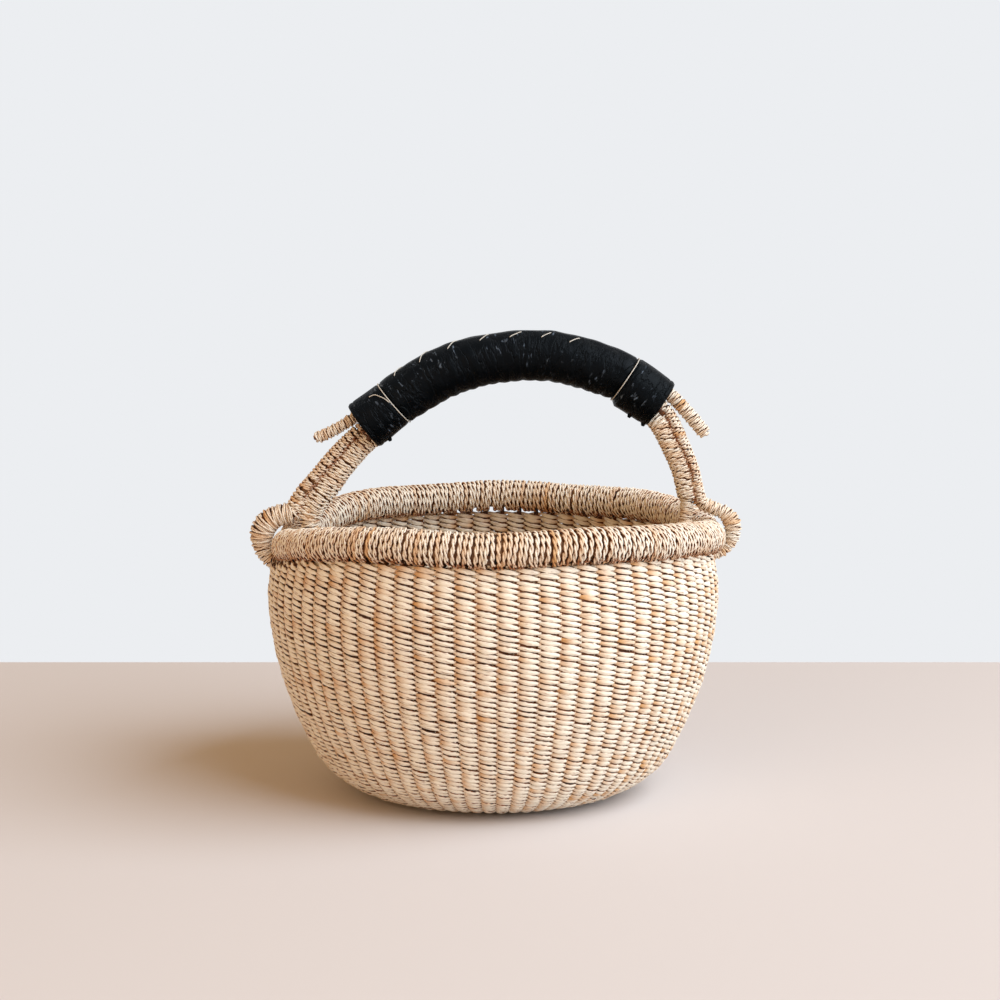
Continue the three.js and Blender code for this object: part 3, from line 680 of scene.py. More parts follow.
# %% Two plies
def two_plies(centre, outward, closed, offset, ply, turns, start):
    """Two tubes round each centre line. They lie `offset` from it on opposite sides and make so
    many turns about it from end to end."""
    along = centre.shape[1]
    if closed:
        tangent = unit(np.roll(centre, -1, 1) - np.roll(centre, 1, 1))
    else:
        tangent = unit(np.gradient(centre, axis=1))
    outward = square_to(outward, tangent)
    across = np.cross(outward, tangent)
    share = np.arange(along) / (along if closed else along - 1)
    turn = 2 * np.pi * turns * share + start[:, None]
    plies = []
    for side in (0, np.pi):
        out = offset * np.cos(turn + side)
        over = offset * 1.15 * np.sin(turn + side)
        middle = centre + out[..., None] * outward + over[..., None] * across
        half = np.full(middle.shape[:2], ply)
        plies.append(ring_corners(middle, outward, across, half, half * 1.05, 6))
    return np.concatenate(plies)


# Painted shade along two opposite sides of each ply, where the plies meet.
PLY_SIDE_SHADE = 1.05 * np.abs(np.sin(np.arange(6) * 2 * np.pi / 6 + np.pi / 6)) ** 5


# %% The hoop
HOOP_STEPS = 160


def rim_frame(angle, turn, distance):
    """A point at a distance from the hoop's centre line, at a turn round it: 0 is outwards and a
    quarter turn is up. Also the direction from the centre line to it."""
    radial = radial_at(angle)
    out = np.cos(turn)[..., None] * radial
    out = out + np.sin(turn)[..., None] * np.array([0, 0, 1.0])
    centre = radial * rim_radius(angle)[..., None] + [RIM_SHIFT, 0, 0]
    centre[..., 2] = rim_centre_height(angle)
    return centre + out * np.asarray(distance)[..., None], out


def rim_hoop():
    """The bundle in the rim as one closed tube."""
    angle = np.arange(HOOP_STEPS) * 2 * np.pi / HOOP_STEPS
    grid, turn = np.meshgrid(angle, np.arange(16) * 2 * np.pi / 16, indexing="ij")
    lumps = 0.25 * np.sin(5 * turn + 3 * np.sin(grid * 4))
    place, _ = rim_frame(grid, turn, CORE_RADIUS - 0.3 + lumps + sleeve_press(grid))
    return place[None]


# The hoop shows only between the wraps, so its tone and crease paint it dark as shade.
lengths = np.arange(HOOP_STEPS)[None] * 3.7
tube_piece(
    "rim_bundle", BASKET_INSIDE, rim_hoop(), True, lengths, "rim_core", tone=0.8, crease=0.6
)

# %% The rim's winding
WRAP_COUNT = 280
WRAP_STEPS = 32
WRAP_REACH = 6.62
WRAP_OFFSET, WRAP_PLY = 0.44, 0.58


def rim_wraps(first, last):
    """Wraps from one number to another, each a ring round the hoop. The angle round the bowl
    waves with the turn round the hoop, and is drawn to the nearest gap between stakes below."""
    number = np.arange(first, last)
    random = np.random.default_rng(5).normal(size=(6, WRAP_COUNT))[:, number]
    step = 2 * np.pi / WRAP_COUNT
    turn = np.arange(WRAP_STEPS) * 2 * np.pi / WRAP_STEPS
    angle = (number + 0.07 * random[0])[:, None] * step
    gap = np.round(angle * STAKE_COUNT / (2 * np.pi)) * 2 * np.pi / STAKE_COUNT
    low = smooth_step((np.cos(turn + np.pi / 2) - 0.45) / 0.5)
    angle = angle + (gap - angle) * 0.24 * low
    lean = 0.26 * random[1][:, None] * np.sin(turn) + 0.1 * random[2][:, None]
    wave = 0.3 * np.sin(2 * turn + 0.5 * random[3][:, None])
    angle = angle + (lean + wave) / RIM_RADIUS * (1 - 0.6 * low)
    press = sleeve_press(angle)
    distance = WRAP_REACH + 0.08 * random[4][:, None] + 0.3 * low * (1 + press) + press
    centre, out = rim_frame(angle, np.broadcast_to(turn, angle.shape), distance)
    start = 2.2 * random[5]
    rings = two_plies(centre, out, True, WRAP_OFFSET, WRAP_PLY, 5, start)
    tone = np.tile(0.25 + 0.16 * random[0], 2)[:, None, None]
    # Painted shade: the underside of each wrap is darker in tone and crease.
    under = smooth_step((-0.3 - np.sin(turn)) / 0.7)[None, :, None]
    crease = 0.5 * under + PLY_SIDE_SHADE
    length = np.broadcast_to(turn * 7.0, angle.shape) + 11.0 * number[:, None]
    return rings, np.tile(length, (2, 1)), np.clip(tone + 0.25 * under, 0, 1), crease


half_way = WRAP_COUNT // 2
for side, first, last, *nodes in (
    ("back", 0, half_way), ("front", half_way, WRAP_COUNT, "rim_wrap"),
):
    rings, lengths, tone, crease = rim_wraps(first, last)
    name = f"rim_winding_{side}"
    tube_piece(name, BASKET_CORD, rings, True, lengths, *nodes, tone=tone, crease=crease)

# %% [markdown]
# The handle is one long bundle. It starts in the left tail, runs through the grip, down the right
# leg, round the rim and up again, back through the grip, round the rim at the left, and through
# the grip a third time to the right tail. The route repeats the one of the solids.

# %% Sizes of the handle
HANDLE_RISE = 73.0
BUNDLE_RADIUS = 2.3
LEG_PITCH = 7.6
AWAY = np.array([0, 1.0, 0])
GRIP_SHARES = [
    [-0.634, 0.577], [-0.499, 0.71], [-0.231, 0.915], [0.055, 1],
    [0.246, 1], [0.436, 0.944], [0.612, 0.851], [0.766, 0.715],
]
PASS_SHARES = {
    "first": [[0.71, -0.16], [0.42, -0.55], [-0.28, -0.47]],
    "second": [[-0.71, -0.43], [-0.63, 0], [-0.62, 0.47]],
    "third": [[-0.18, 0.43], [0.42, 0.55], [0.71, 0.08]],
}
LEGS = {
    "left": {
        "side": -1,
        "tilt": 0.06,
        "pitch": 7.0,
        "inside": [[-0.53, 0.603], [-0.583, 0.553]],
        "centres": [
            [-0.636, 0.504], [-0.742, 0.364], [-0.827, 0.223], [-0.894, 0.118], [-0.931, 0.031],
        ],
        "halves": [6.2, 6.8, 7.1, 7.4, 7.8, 8.1, 8.3],
    },
    "right": {
        "side": 1,
        "tilt": 0.4,
        "pitch": 5.4,
        "inside": [[0.641, 0.749], [0.694, 0.703]],
        "centres": [
            [0.763, 0.631], [0.83, 0.473], [0.887, 0.296], [0.904, 0.205], [0.92, 0.12],
        ],
        "halves": [6.3, 6.8, 6.6, 6.4, 6.2, 6.1, 6.3],
    },
}
LOOP_TURNS = [-260, -200, -170, -90, -60, -30, 0, 20, 40, 65, 100]
LOOP_RADII = {
    "left": [4.3, 4.2, 3.9, 3.1, 3.5, 4.1, 4.9, 5.6, 5.7, 5.3, 4.8],
    "right": [3.3, 3.3, 3.2, 2.6, 2.7, 3.1, 3.7, 4.1, 4.0, 3.4, 3.4],
}
LOOP_CENTRES = {"left": (-90.9, 109.6), "right": (95.7, 114.0)}


# %% The line of the grip
def front_points(shares):
    """Places seen from the front, as shares of the rim's radius and of the handle's rise."""
    shares = np.asarray(shares)
    across = RIM_SHIFT + RIM_RADIUS * shares[:, 0]
    return np.stack([across, 0 * across, RIM_HEIGHT + HANDLE_RISE * shares[:, 1]], -1)


def outward_of(along):
    """Square to a direction in the front plane, pointing out of the arch."""
    return unit(np.stack([-along[..., 2], 0 * along[..., 0], along[..., 0]], -1))


grip_path = smooth_path(front_points(GRIP_SHARES), 40)
grip_length = lengths_along(grip_path)[-1]


def grip_frame(lengths):
    """Point, direction and outward direction of the grip's centre line at lengths along it."""
    point = at_length(grip_path, lengths)
    ahead = unit(at_length(grip_path, lengths + 0.5) - at_length(grip_path, lengths - 0.5))
    return point, ahead, outward_of(ahead)


print("grip", round(grip_length, 1), "mm long")


# %% Passes and legs
def pass_points(shares):
    """One pass of the bundle through the grip, seven places from left to right."""
    offsets = np.array([[out, back, 0] for out, back in shares]) * LEG_PITCH
    place = np.linspace(0, 1, 7)
    offset = smooth_path(offsets, 30)[np.round(place * 60).astype(int)]
    point, _, outward = grip_frame(np.clip(place * grip_length, 0.6, grip_length - 0.6))
    point[0], point[-1] = grip_path[0], grip_path[-1]
    return point + outward * offset[:, :1] + AWAY * offset[:, 1:2]


def leg_points(leg, outer_start, inner_start):
    """The outer and inner bundle of a leg, turning from their places at the mouth into the
    plane of the loop."""
    apart = outer_start - inner_start
    centres = front_points(leg["centres"])
    line = np.vstack([front_points(leg["inside"]), centres])
    outward = outward_of(unit(np.diff(line[1:], axis=0))) * leg["side"]
    turn = math.asin(np.clip(apart[1] / np.linalg.norm(apart), -1, 1))
    turn = turn * (1 - (np.arange(len(centres)) + 1) / len(centres))[:, None]
    half = (outward * np.cos(turn) + AWAY * np.sin(turn)) * leg["pitch"] / 2
    return centres + half, centres - half, line


# %% Loops round the rim
def loop_turn(side, points):
    """The angle of points round the rim, from 100 degrees (above it) down to -260."""
    across, height = LOOP_CENTRES[side]
    mirror = LEGS[side]["side"]
    turn = np.degrees(np.arctan2(points[..., 2] - height, mirror * (points[..., 0] - across)))
    return np.where(turn > 100, turn - 360, turn)


def loop_points(side):
    """Ten steps round the rim, from its outer side above, down, under and up inside. The cord
    is snug at the side of the rim and clears it above, so that the handle can lean."""
    turn = np.linspace(80, -170, 11)
    angle = np.radians(turn)
    room = 0.4 + 1.1 * np.maximum(np.sin(angle), 0) + 0.5 * np.maximum(-np.cos(angle), 0)
    reach = RIM_OUTSIDE - 0.75 + room + np.interp(turn, LOOP_TURNS, LOOP_RADII[side])
    across, height = LOOP_CENTRES[side]
    mirror = LEGS[side]["side"]
    across = across + mirror * reach * np.cos(angle)
    return np.stack([across, 0 * turn, height + reach * np.sin(angle)], -1)


# %% The whole route
first, second, third = (pass_points(PASS_SHARES[key]) for key in ("first", "second", "third"))
right_outer, right_inner, right_line = leg_points(LEGS["right"], first[-1], second[-1])
left_outer, left_inner, left_line = leg_points(LEGS["left"], third[0], second[0])
left_tail = front_points([[-0.868, 0.499], [-0.778, 0.55]])
left_tail[:, 1] = first[0, 1]
right_tail = front_points([[0.868, 0.692], [0.985, 0.518]])
right_tail[:, 1] = third[-1, 1]
stretches = {
    "left_tail": np.vstack([left_tail, first[:1]]),
    "first_pass": first[1:],
    "right_outer_leg": right_outer,
    "right_loop": np.vstack([loop_points("right"), right_inner[-1:]]),
    "right_inner_leg": np.vstack([right_inner[-2::-1], second[-1:]]),
    "second_pass": second[-2::-1],
    "left_inner_leg": left_inner,
    "left_loop": np.vstack([loop_points("left")[::-1], left_outer[-1:]]),
    "left_outer_leg": np.vstack([left_outer[-2::-1], third[:1]]),
    "third_pass": third[1:],
    "right_tail": right_tail,
}
bundle_places = np.vstack(list(stretches.values()))
PER_SPAN = 24
bundle_path = smooth_path(bundle_places, PER_SPAN)
bundle_lengths = lengths_along(bundle_path)
last_places = np.cumsum([len(points) for points in stretches.values()]) - 1
marks = bundle_lengths[np.append(0, last_places) * PER_SPAN]
stretch_ends = {key: (marks[i], marks[i + 1]) for i, key in enumerate(stretches)}
print("bundle", round(bundle_lengths[-1]), "mm long")

# %% [markdown]
# A leg holds two bundles side by side, and the cord goes round them in a figure of eight, which
# shows as two columns of turns that dive in between them. Closed turns round each column give
# that look, and need no path that crosses itself. A flat bundle fills the leg, so no light comes
# through. The cord has two plies, as on the rim.

# %% Places in a leg
LEG_STEPS = 40
LEG_DEPTH = 4.3
LEG_OFFSET, LEG_PLY = 0.42, 0.56


def leg_place(leg, path, length, across, depth):
    """A point of a leg: at a length down its centre line, across it in the front plane and back.
    Past the ends of the line it goes on straight. Also the direction across the leg."""
    total = lengths_along(path)[-1]
    held = np.clip(length, 0, total)
    after, before = np.minimum(held + 0.8, total), np.maximum(held - 0.8, 0)
    ahead = unit(at_length(path, after) - at_length(path, before))
    outward = outward_of(ahead) * leg["side"]
    point = at_length(path, held) + ahead * (length - held)[..., None]
    return point + outward * across[..., None] + AWAY * depth[..., None], outward


def leg_half(leg, share):
    """Half the leg's width at a share of the way down."""
    return np.interp(share, np.linspace(0, 1, len(leg["halves"])), leg["halves"])


# %% Turns of a leg
def leg_rings(leg, path, pitch, lobe, seed):
    """Closed turns round one lobe of a leg. Lobe 1 is the narrow outer column, -1 the wide inner
    one. Each turn is a rounded D in the section and climbs a little across the leg."""
    random = np.random.default_rng(seed)
    total = lengths_along(path)[-1]
    where = np.arange(0.6, total - 0.3, pitch)
    where = where + (0.5 * pitch if lobe > 0 else 0) + 0.08 * random.normal(size=where.shape)
    where = np.minimum(where, total - 0.2)[:, None]
    turn = np.arange(LEG_STEPS) * 2 * np.pi / LEG_STEPS
    half = leg_half(leg, where / total)
    seam = 0.3 * half + 0.3 * np.sin(11 * where / total)
    low, high = (seam - 1.3, half) if lobe > 0 else (-half, seam + 1.3)
    middle, wide = (low + high) / 2, (high - low) / 2 - 0.8
    cos, sin = np.cos(turn), np.sin(turn)
    across = middle + wide * np.sign(cos) * np.abs(cos) ** 0.8
    depth = -(LEG_DEPTH - 0.8) * np.sign(sin) * np.abs(sin) ** 0.7
    depth = depth * (1 - 0.12 * np.abs(cos)) * (1 + 0.03 * random.normal(size=where.shape))
    bow = 0.3 * random.normal(size=where.shape) * np.sin(turn)
    length = where + across * leg["tilt"] + bow
    centre, outward = leg_place(leg, path, length, across, depth)
    out = outward * (across - middle)[..., None] + AWAY * depth[..., None]
    start = 2.5 * random.normal(size=len(where))
    plies = two_plies(centre, unit(out), True, LEG_OFFSET, LEG_PLY, 4, start)
    # Painted shade: a darker outer column on the left leg, and the crease where each turn dives.
    shaded = 0.12 if lobe > 0 and leg["side"] < 0 else 0
    tone = 0.22 + 0.14 * random.normal(size=len(where)) + shaded
    dive = np.exp(-(((across - seam) / 1.3) ** 2))
    crease = PLY_SIDE_SHADE + 0.55 * np.tile(dive, (2, 1))[..., None]
    along = np.broadcast_to(turn * 4.5, across.shape) + 9.0 * np.arange(len(where))[:, None]
    tone = np.tile(tone, 2)[:, None, None]
    return plies, np.tile(along, (2, 1)), np.clip(tone, 0, 1), np.clip(crease, 0, 1.2)


# %% Legs
def leg_piece(side, line, pitch, seed):
    """Both columns of a leg as one piece, and the flat bundle that fills it."""
    leg, path = LEGS[side], smooth_path(line, 24)
    parts = [leg_rings(leg, path, pitch, lobe, seed + lobe) for lobe in (1, -1)]
    rings, lengths, tone, crease = (np.concatenate(group) for group in zip(*parts))
    name = f"{side}_leg_winding"
    node = f"{side}_leg_wrap"
    tube_piece(name, HANDLE_CORD, rings, True, lengths, node, tone=tone, crease=crease)
    total = lengths_along(path)[-1]
    length = np.linspace(0, total - 0.5, 40)
    zero = 0 * length
    place, outward = leg_place(leg, path, length, zero, zero)
    close = np.sqrt(np.clip((total - length) / 4, 0.05, 1))
    wide, deep = (leg_half(leg, length / total) - 1.9) * close, (LEG_DEPTH - 1.7) * close
    back = np.broadcast_to(AWAY, place.shape)
    rings = ring_corners(place, outward, back, wide, deep, 16)[None]
    name = f"{side}_leg_filling"
    # The filling shows only between the turns; its tone and crease paint it dark as shade.
    tube_piece(name, HANDLE_INSIDE, rings, False, length[None], tone=0.8, crease=0.5)


leg_piece("left", left_line, 1.85, 21)
leg_piece("right", right_line, 1.65, 31)


# %% [markdown]
# Loops and tails are wound with the same two-ply cord as the rim. A winding is a helix round its
# stretch of the bundle: the turn grows steadily with the length, and the radius and the pitch
# waver a little, because a hand pulls no two turns alike.


# %% Winding round a stretch
def cord_frame(lengths):
    """Point, side and back directions of the bundle at lengths along it."""
    point = at_length(bundle_path, lengths)
    ahead = unit(at_length(bundle_path, lengths + 0.4) - at_length(bundle_path, lengths - 0.4))
    side = unit(np.cross(ahead, AWAY))
    return point, ahead, side, np.cross(side, ahead)


WIND_STEPS = 18
PLY_OFFSET = 0.72


def wound_cord(start, end, radius, pitch, seed, ply):
    """Both plies of a winding from one length to another. Radius is a function of the share of
    the way."""
    random = np.random.default_rng(seed)
    turns = (end - start) / pitch
    count = int(turns * WIND_STEPS)
    share = np.linspace(0, 1, count)
    turn = 2 * np.pi * turns * share
    knots = random.normal(size=(3, int(turns) + 3))
    wander, swell, shades = (np.interp(turns * share, np.arange(int(turns) + 3), k) for k in knots)
    length = start + (end - start) * share
    point, ahead, side, back = cord_frame(length)
    out = np.cos(turn)[:, None] * side + np.sin(turn)[:, None] * back
    distance = radius(share) - (1 + PLY_OFFSET) * ply + 0.08 * swell
    centre = point + out * distance[:, None] + ahead * (0.14 * wander)[:, None]
    offset, start_turn = ply * PLY_OFFSET, np.zeros(1)
    rings = two_plies(centre[None], out[None], False, offset, ply, turns * 1.3, start_turn)
    tone = np.tile(0.36 + 0.2 * shades, (2, 1))[..., None]
    crease = np.tile(PLY_SIDE_SHADE, (2, count, 1))
    along = np.tile(turns * 2 * np.pi * 3.4 * share, (2, 1))
    return rings, along, np.clip(tone, 0, 1), crease


def wind(name, node, *how):
    """One winding as a piece."""
    rings, along, tone, crease = wound_cord(*how)
    tube_piece(name, HANDLE_CORD, rings, False, along, node, tone=tone, crease=crease)


# %% Loops and tails
INTO_GRIP = 5.0
PAST_LOOP = 9.0


def loop_radius(side):
    """The outer radius of a loop's winding, by where each point lies round the rim."""
    start, end = stretch_ends[f"{side}_loop"]

    def radius(share):
        reach = start - PAST_LOOP + (end - start + 2 * PAST_LOOP) * share
        points = at_length(bundle_path, reach)
        return np.interp(loop_turn(side, points), LOOP_TURNS, LOOP_RADII[side])
    return radius


for side, pitch in (("left", 1.5), ("right", 1.4)):
    start, end = stretch_ends[f"{side}_loop"]
    wind(
        f"{side}_loop_winding", f"{side}_loop_wrap", start - PAST_LOOP, end + PAST_LOOP,
        loop_radius(side), pitch, 15, 0.5,
    )
wind(
    "left_tail_winding", "left_tail_wrap", 0.4, stretch_ends["left_tail"][1] + INTO_GRIP,
    lambda share: 2.95 - 1.5 * (1 - smooth_step(share / 0.08)) ** 2, 1.5, 17, 0.45,
)
wind(
    "right_tail_winding", "right_tail_wrap", stretch_ends["right_tail"][0] - INTO_GRIP,
    bundle_lengths[-1] - 0.4,
    lambda share: 3.35 - 1.6 * smooth_step((share - 0.93) / 0.07) ** 2, 1.5, 18, 0.45,
)


# %% The bundle inside
def bundle_rings():
    """The bundle as one tube that closes to a rounded point at each end. It is thick in the
    loops, where it fills the winding, and thin in the legs, which have a filling of their own."""
    length = np.linspace(0, bundle_lengths[-1], 640)
    point, _, side, back = cord_frame(length)
    near_end = np.minimum(length, bundle_lengths[-1] - length)
    radius = (BUNDLE_RADIUS - 0.3) * np.sqrt(np.clip(near_end / 2.5, 0.02, 1))
    for key, (start, end) in stretch_ends.items():
        here = (length >= start) & (length < end)
        if "leg" in key:
            radius = np.where(here, 1.0, radius)
        if "loop" in key:
            turn = loop_turn(key.split("_")[0], point)
            fill = np.interp(turn, LOOP_TURNS, LOOP_RADII[key.split("_")[0]]) - 1.7
            radius = np.where(here, fill, radius)
    soft = np.convolve(np.pad(radius, 4, mode="edge"), np.ones(9) / 9, mode="valid")
    radius = np.where(near_end > 4, soft, radius)
    return ring_corners(point, side, back, radius, radius, 10)[None], length[None]


# The bundle shows only between the turns, so it takes the dark grass of painted shade.
rings, lengths = bundle_rings()
tube_piece(
    "handle_core", HANDLE_CORE, rings, False, lengths, "handle_bundle", "grip_binding",
    tone=0.6, crease=0.2,
)

# %% [markdown]
# The grip is a sleeve of thin black leather, laced along its crest and bound at both seams. Its
# skin is a surface over length and turn. Soft folds, the waists at both seams and the rolled
# edges are added to the radius, and the shader adds pores, creases and a few bluish flecks of
# painted highlight.


# %% Leather skins
def ripples(length, turn, seed, count, long_scale, turn_scale):
    """A sum of sines of random directions, about -1 to 1."""
    random = np.random.default_rng(seed)
    total = 0
    for _ in range(count):
        a, b = random.normal(size=2)
        phase = random.random() * 2 * np.pi
        total = total + np.sin(a * length / long_scale + round(b * turn_scale) * turn + phase)
    return total / math.sqrt(count)


LEATHER_CORNERS = 72
GRIP_RADIUS, CUFF_RADIUS = 11.25, 10.9


def grip_spokes(lengths, turns):
    """Points of the grip's centre line, and directions out of it at turns from its crest."""
    point, _, outward = grip_frame(lengths)
    return point, outward * np.cos(turns)[..., None] - AWAY * np.sin(turns)[..., None]


def leather_skin(name, start, end, radius_at, wall, steps, node):
    """A sleeve between two edges: the outer skin, rolled over each edge, and the inner skin.
    Both edges are functions of the turn round the grip, so that a seam can lie aslant."""
    turn = np.arange(LEATHER_CORNERS) * 2 * np.pi / LEATHER_CORNERS
    share = np.linspace(0, 1, steps)[:, None]
    grid = start(turn) + (end(turn) - start(turn)) * share
    turns = np.broadcast_to(turn, grid.shape)
    edge = np.minimum(grid - start(turn), end(turn) - grid)
    outer = radius_at(grid, turns) - 0.5 * (1 - smooth_step(edge / 1.1))
    inner = outer - wall * smooth_step(edge / 0.8 + 0.3)
    point, spoke = grip_spokes(grid, turns)
    skins = [point + spoke * outer[..., None], (point + spoke * inner[..., None])[::-1]]
    along = grid.mean(1)
    lengths = np.concatenate([along, along[::-1] + 2 * (along[-1] - along[0])])[None]
    tube_piece(name, LEATHER, np.concatenate(skins)[None], True, lengths, node)


# %% Black leather
def leather_material():
    """Black leather: pores and soft creases in its height, painted bluish glints in patches."""
    material, tree, shader = new_material("black_leather")
    place, skin = object_place(tree), strand_map(tree)
    pores = add_node(tree, "ShaderNodeTexVoronoi", Scale=1500.0, Vector=place)
    wear_and_glint = add_node(tree, "ShaderNodeTexNoise", Scale=60.0, Detail=5.0, Vector=place)
    wear_and_glint = wear_and_glint.outputs["Fac"]
    folds = stretched_noise(tree, skin, 0.22, 5.0, 4.0)
    creases = maths(tree, "ABSOLUTE", maths(tree, "SUBTRACT", folds, 0.5))
    creases = ramp(tree, creases, 0.0, 0.05)
    # Painted highlight: short bluish flecks where the noise is high.
    flecks = ramp(tree, stretched_noise(tree, skin, 0.7, 18.0, 2.0), 0.6, 0.72)
    flecks = maths(tree, "MULTIPLY", flecks, ramp(tree, wear_and_glint, 0.46, 0.62))
    height = maths(tree, "MULTIPLY_ADD", pores.outputs["Distance"], 0.08, folds)
    height = maths(tree, "MULTIPLY_ADD", creases, 0.35, height)
    bumps = add_node(tree, "ShaderNodeBump", Strength=0.8, Distance=0.0011, Height=height)
    feed(tree, shader, {
        "Specular IOR Level": 0.06,
        "Base Color": mix_colours(tree, flecks, shade(3, 6, 9), shade(92, 104, 118)),
        "Roughness": maths(tree, "MULTIPLY_ADD", wear_and_glint, 0.25, 0.28),
        "Normal": bumps.outputs["Normal"],
    })
    return material


LEATHER = ("handle", "leather", leather_material())


# %% Seams and radii of the sleeves
def left_seam(turn):
    """The left seam lies a little aslant: nearer to the middle below than on the crest."""
    return 16.9 - 1.2 * np.cos(turn)


def right_seam(turn):
    """The right seam leans the other way."""
    return 125.5 + 1.4 * np.cos(turn)


def grip_radius(length, turn):
    """The sleeve's outer radius: drawn in at both seams, with soft folds, a ridge where the
    stitches run and small scallops below."""
    drawn = np.minimum(length - left_seam(turn), right_seam(turn) - length)
    radius = GRIP_RADIUS - 0.7 * np.exp(-drawn / 2.5)
    folds = 0.2 * ripples(length, turn, 3, 18, 4.5, 3.2)
    gather = 0.16 * np.cos(11 * turn) * np.exp(-drawn / 5)
    crest = 0.28 * np.exp(-(((turn - 0.35) / 0.12) ** 2))
    below = smooth_step((-0.3 - np.cos(turn)) / 0.5)
    scallops = 0.4 * below * (np.abs(np.sin(length / 1.8 + 0.8 * np.sin(length / 9))) - 0.6)
    return radius + folds + gather + crest + scallops


def cuff_radius(seam, mouth, wide, belly):
    """A cuff widens from the seam to its mouth, and more so below than on the crest. A fine
    groove runs round it 2.6 mm from the mouth."""
    def radius(length, turn):
        share = (length - seam(turn)) / (mouth - seam(turn))
        folds = 0.12 * ripples(length, turn, 8, 10, 5.0, 2.0)
        gather = 0.18 * np.cos(9 * turn + 1) * np.exp(-np.abs(length - seam(turn)) / 4)
        line = -0.24 * np.exp(-(((np.abs(mouth - length) - 2.6) / 0.45) ** 2))
        below = belly * (1 - np.cos(turn)) / 2 * smooth_step(share * 6) * (1 - 0.5 * share)
        widened = CUFF_RADIUS + wide * smooth_step(share * 1.2)
        return widened + below + folds + gather + line
    return radius


# %% Grip and cuffs
leather_skin(
    "leather_grip", lambda turn: left_seam(turn) + 0.15, lambda turn: right_seam(turn) - 0.15,
    grip_radius, 1.3, 220, "grip_leather",
)
leather_skin(
    "leather_cuff_left", lambda turn: 0 * turn, lambda turn: left_seam(turn) - 0.15,
    cuff_radius(left_seam, 0.0, 0.5, 0.5), 1.6, 50, "left_cuff",
)
leather_skin(
    "leather_cuff_right",
    lambda turn: right_seam(turn) + 0.15, lambda turn: grip_length + 0 * turn,
    cuff_radius(right_seam, grip_length, 0.1, 2.2), 1.6, 50, "right_cuff",
)

# %% [markdown]
# Waxed thread holds the leather: one turn round each seam, and stitches that slant over the crest
# towards the front. Each visible stitch is a short tube whose ends sink into the leather.


# %% Waxed thread
def thread_material():
    """Off-white waxed thread with a fine twist."""
    material, tree, shader = new_material("waxed_thread")
    mapping = add_node(
        tree, "ShaderNodeMapping", Rotation=(0, 0, 0.6), Vector=strand_map(tree)
    ).outputs["Vector"]
    twist = add_node(tree, "ShaderNodeTexWave", Scale=1.6, Distortion=0.8, Vector=mapping)
    twist = twist.outputs["Fac"]
    bumps = add_node(tree, "ShaderNodeBump", Strength=0.6, Distance=0.0001, Height=twist)
    feed(tree, shader, {
        "Roughness": 0.55,
        "Base Color": mix_colours(tree, twist, shade(170, 162, 148), shade(232, 228, 218)),
        "Normal": bumps.outputs["Normal"],
    })
    return material


THREAD = ("handle", "thread", thread_material())
THREAD_RADIUS = 0.22


# %% Threads on the leather
def thread_piece(name, lengths, turns, lifts, *nodes):
    """Round threads on the leather, each a row of lengths along the grip, turns round it and
    lifts above its centre line."""
    point, spokes = grip_spokes(lengths, turns)
    places = point + spokes * lifts[..., None]
    outward = square_to(spokes, unit(np.gradient(places, axis=1)))
    across = np.cross(outward, unit(np.gradient(places, axis=1)))
    half = np.full(places.shape[:2], THREAD_RADIUS)
    rings = ring_corners(places, outward, across, half, half, 8)
    steps = np.linalg.norm(np.diff(places, axis=1), axis=-1)
    along = np.concatenate([np.zeros((len(places), 1)), np.cumsum(steps, 1)], 1)
    tube_piece(name, THREAD, rings, False, along, *nodes)


# %% Stitches on the crest
# Length along the grip and turn round it, at the start and the end of each stitch.
STITCHES = np.array([
    [29.3, -0.3, 23.8, 0.56], [41.3, -0.2, 35.7, 0.66], [53.0, 0.1, 47.8, 0.65],
    [65.7, 0.25, 61.1, 0.65], [79.0, 0.35, 73.4, 0.72], [90.3, 0.4, 86.0, 0.76],
    [101.7, 0.4, 97.3, 0.83],
])
stitch_share = np.linspace(0, 1, 14)
stitch_lengths = STITCHES[:, :1] + (STITCHES[:, 2:3] - STITCHES[:, :1]) * stitch_share
stitch_turns = STITCHES[:, 1:2] + (STITCHES[:, 3:] - STITCHES[:, 1:2]) * stitch_share
skin = grip_radius(stitch_lengths, stitch_turns)
stitch_lift = skin + 0.2 - 0.9 * np.abs(2 * stitch_share - 1) ** 6
thread_piece("crest_stitches", stitch_lengths, stitch_turns, stitch_lift, "grip_lacing")

# %% Threads of the seams
# Each seam has one turn of thread whose ends are tucked under on the crest.
for side, seam, level in (("left", left_seam, 11.05), ("right", right_seam, 11.0)):
    turn = np.linspace(0.2, 0.2 + 2 * np.pi, 120)
    route = smooth_path(np.stack([seam(turn), turn], 1) * [1, 10], 6) / [1, 10]
    lift = level - 0.5 * np.abs(2 * np.linspace(0, 1, len(route)) - 1) ** 60
    length, turn = route[None, :, 0], route[None, :, 1]
    thread_piece(f"seam_thread_{side}", length, turn, lift[None], f"{side}_seam_thread")

# The left thread ends in a curl that lies loose on the cuff: lengths and turns.
LEFT_CURL = np.array([[16.2, 1.42], [15.5, 1.22], [14.4, 1.02], [12.6, 0.77], [10.4, 0.7]])
curl = smooth_path(LEFT_CURL * [1, 10], 10) / [1, 10]
skin = cuff_radius(left_seam, 0.0, 0.5, 0.5)(curl[:, 0], curl[:, 1])
thread_piece("loose_thread_left", curl[None, :, 0], curl[None, :, 1], (skin + 0.2)[None])

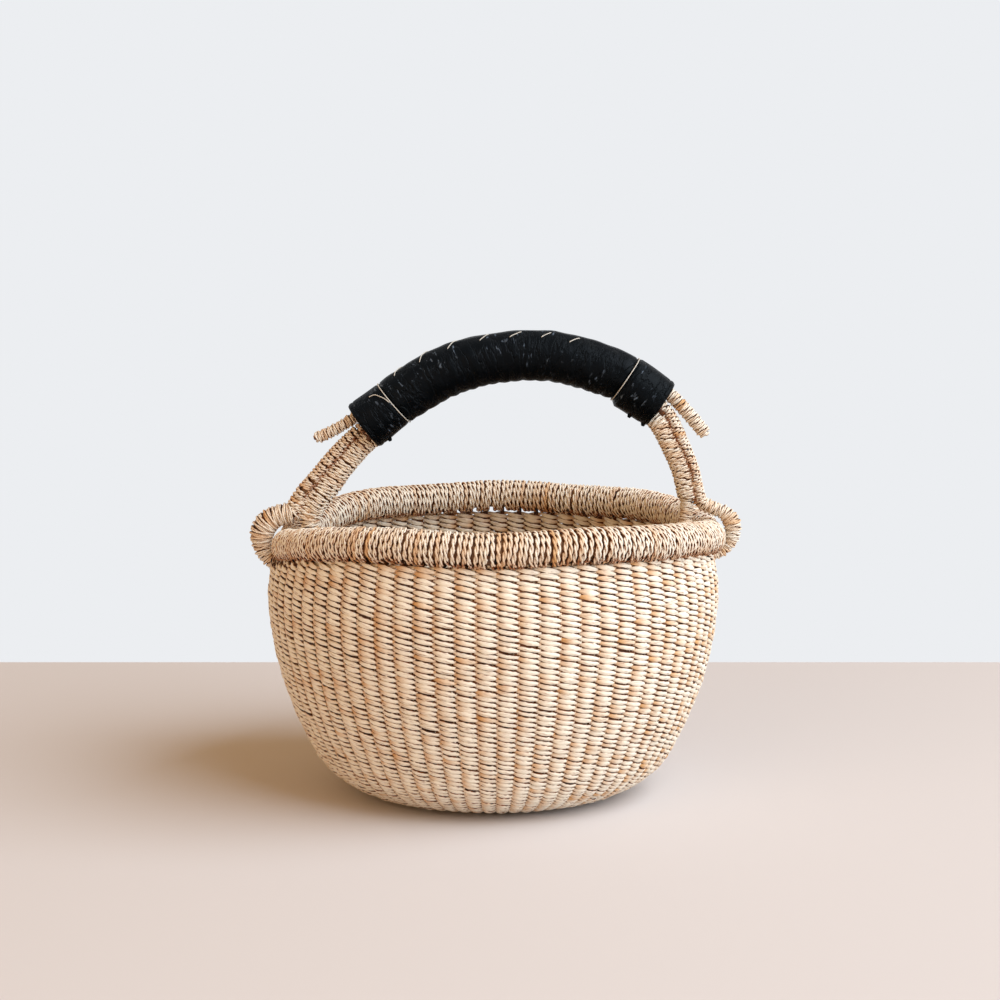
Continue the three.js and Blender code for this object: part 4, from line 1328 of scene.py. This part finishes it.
# %% Ends of lace
# Ends of a black lace that stick out under the cuffs: length, turn and lift of both tips.
TAGS = np.array([
    [5.8, 3.0, 10.6, 5.2, 3.0, 12.7], [136.4, 3.0, 11.0, 136.9, 3.0, 13.6],
    [143.2, 3.0, 10.9, 143.9, 3.0, 13.0],
])
share = np.linspace(0, 1, 6)
tag = TAGS[:, None, :3] + (TAGS[:, None, 3:] - TAGS[:, None, :3]) * share[:, None]
point, spoke = grip_spokes(tag[..., 0], tag[..., 1])
places = point + spoke * tag[..., 2:]
tangent = unit(np.gradient(places, axis=1))
back = square_to(AWAY, tangent)
thick = np.broadcast_to(1.1 - 0.5 * share**4, places.shape[:2])
rings = ring_corners(places, back, np.cross(back, tangent), thick, thick, 8)
tube_piece("lace_ends", LEATHER, rings, False, np.tile(share * 2, (len(TAGS), 1)))

# %% [markdown]
# The studio is plain: a pale floor that takes the shadow, a world that the camera sees as pale
# and that lights the shadows warmly, a large soft lamp from the front right and a weak fill from
# the front left. At their level colours render about as they are written.


# %% Floor
floor_look, _, shader = new_material("pale_floor")
shader.inputs["Base Color"].default_value = shade(213, 208, 207)
shader.inputs["Roughness"].default_value = 0.9
FLOOR_SIDE = 3.0
FLOOR_BACK = 0.285
corners = [
    (-FLOOR_SIDE, -FLOOR_SIDE, 0), (FLOOR_SIDE, -FLOOR_SIDE, 0),
    (FLOOR_SIDE, FLOOR_BACK, 0), (-FLOOR_SIDE, FLOOR_BACK, 0),
]
floor_mesh = bpy.data.meshes.new("floor")
floor_mesh.from_pydata(corners, [], [(0, 1, 2, 3)])
floor_mesh.materials.append(floor_look)
floor = bpy.data.objects.new("floor", floor_mesh)
scene.collection.objects.link(floor)

# %% World
world = bpy.data.worlds.new("studio")
world.use_nodes = True
tree = world.node_tree
light_path = tree.nodes.new("ShaderNodeLightPath").outputs
plain = maths(tree, "MAXIMUM", light_path["Is Camera Ray"], light_path["Is Glossy Ray"])
plain = maths(tree, "MAXIMUM", plain, light_path["Is Transmission Ray"])
seen = mix_colours(tree, plain, shade(181, 144, 97), shade(236, 238, 241))
feed(tree, tree.nodes["Background"], {"Color": seen, "Strength": 1.0})
scene.world = world
scene.view_settings.view_transform = "Standard"


# %% Lamps
def add_lamp(name, place, size, power, colour):
    """A square area lamp at a place in metres, turned to the middle of the bowl."""
    data = bpy.data.lights.new(name, "AREA")
    data.size, data.energy, data.color = size, power, colour
    lamp = bpy.data.objects.new(name, data)
    lamp.location = place
    across, back, up = np.array([0, 0, 0.1]) - place
    tilt = math.pi / 2 + math.atan2(up, math.hypot(across, back))
    lamp.rotation_euler = (tilt, 0, math.atan2(-across, back))
    scene.collection.objects.link(lamp)


add_lamp("key", (1.95, -1.0, 1.75), 3.1, 142, (0.77, 0.885, 1.0))
add_lamp("fill", (-1.3, -1.8, 0.7), 1.6, 11, (1, 0.64, 0.36))
print("lamps:", [lamp.name for lamp in bpy.data.lights])
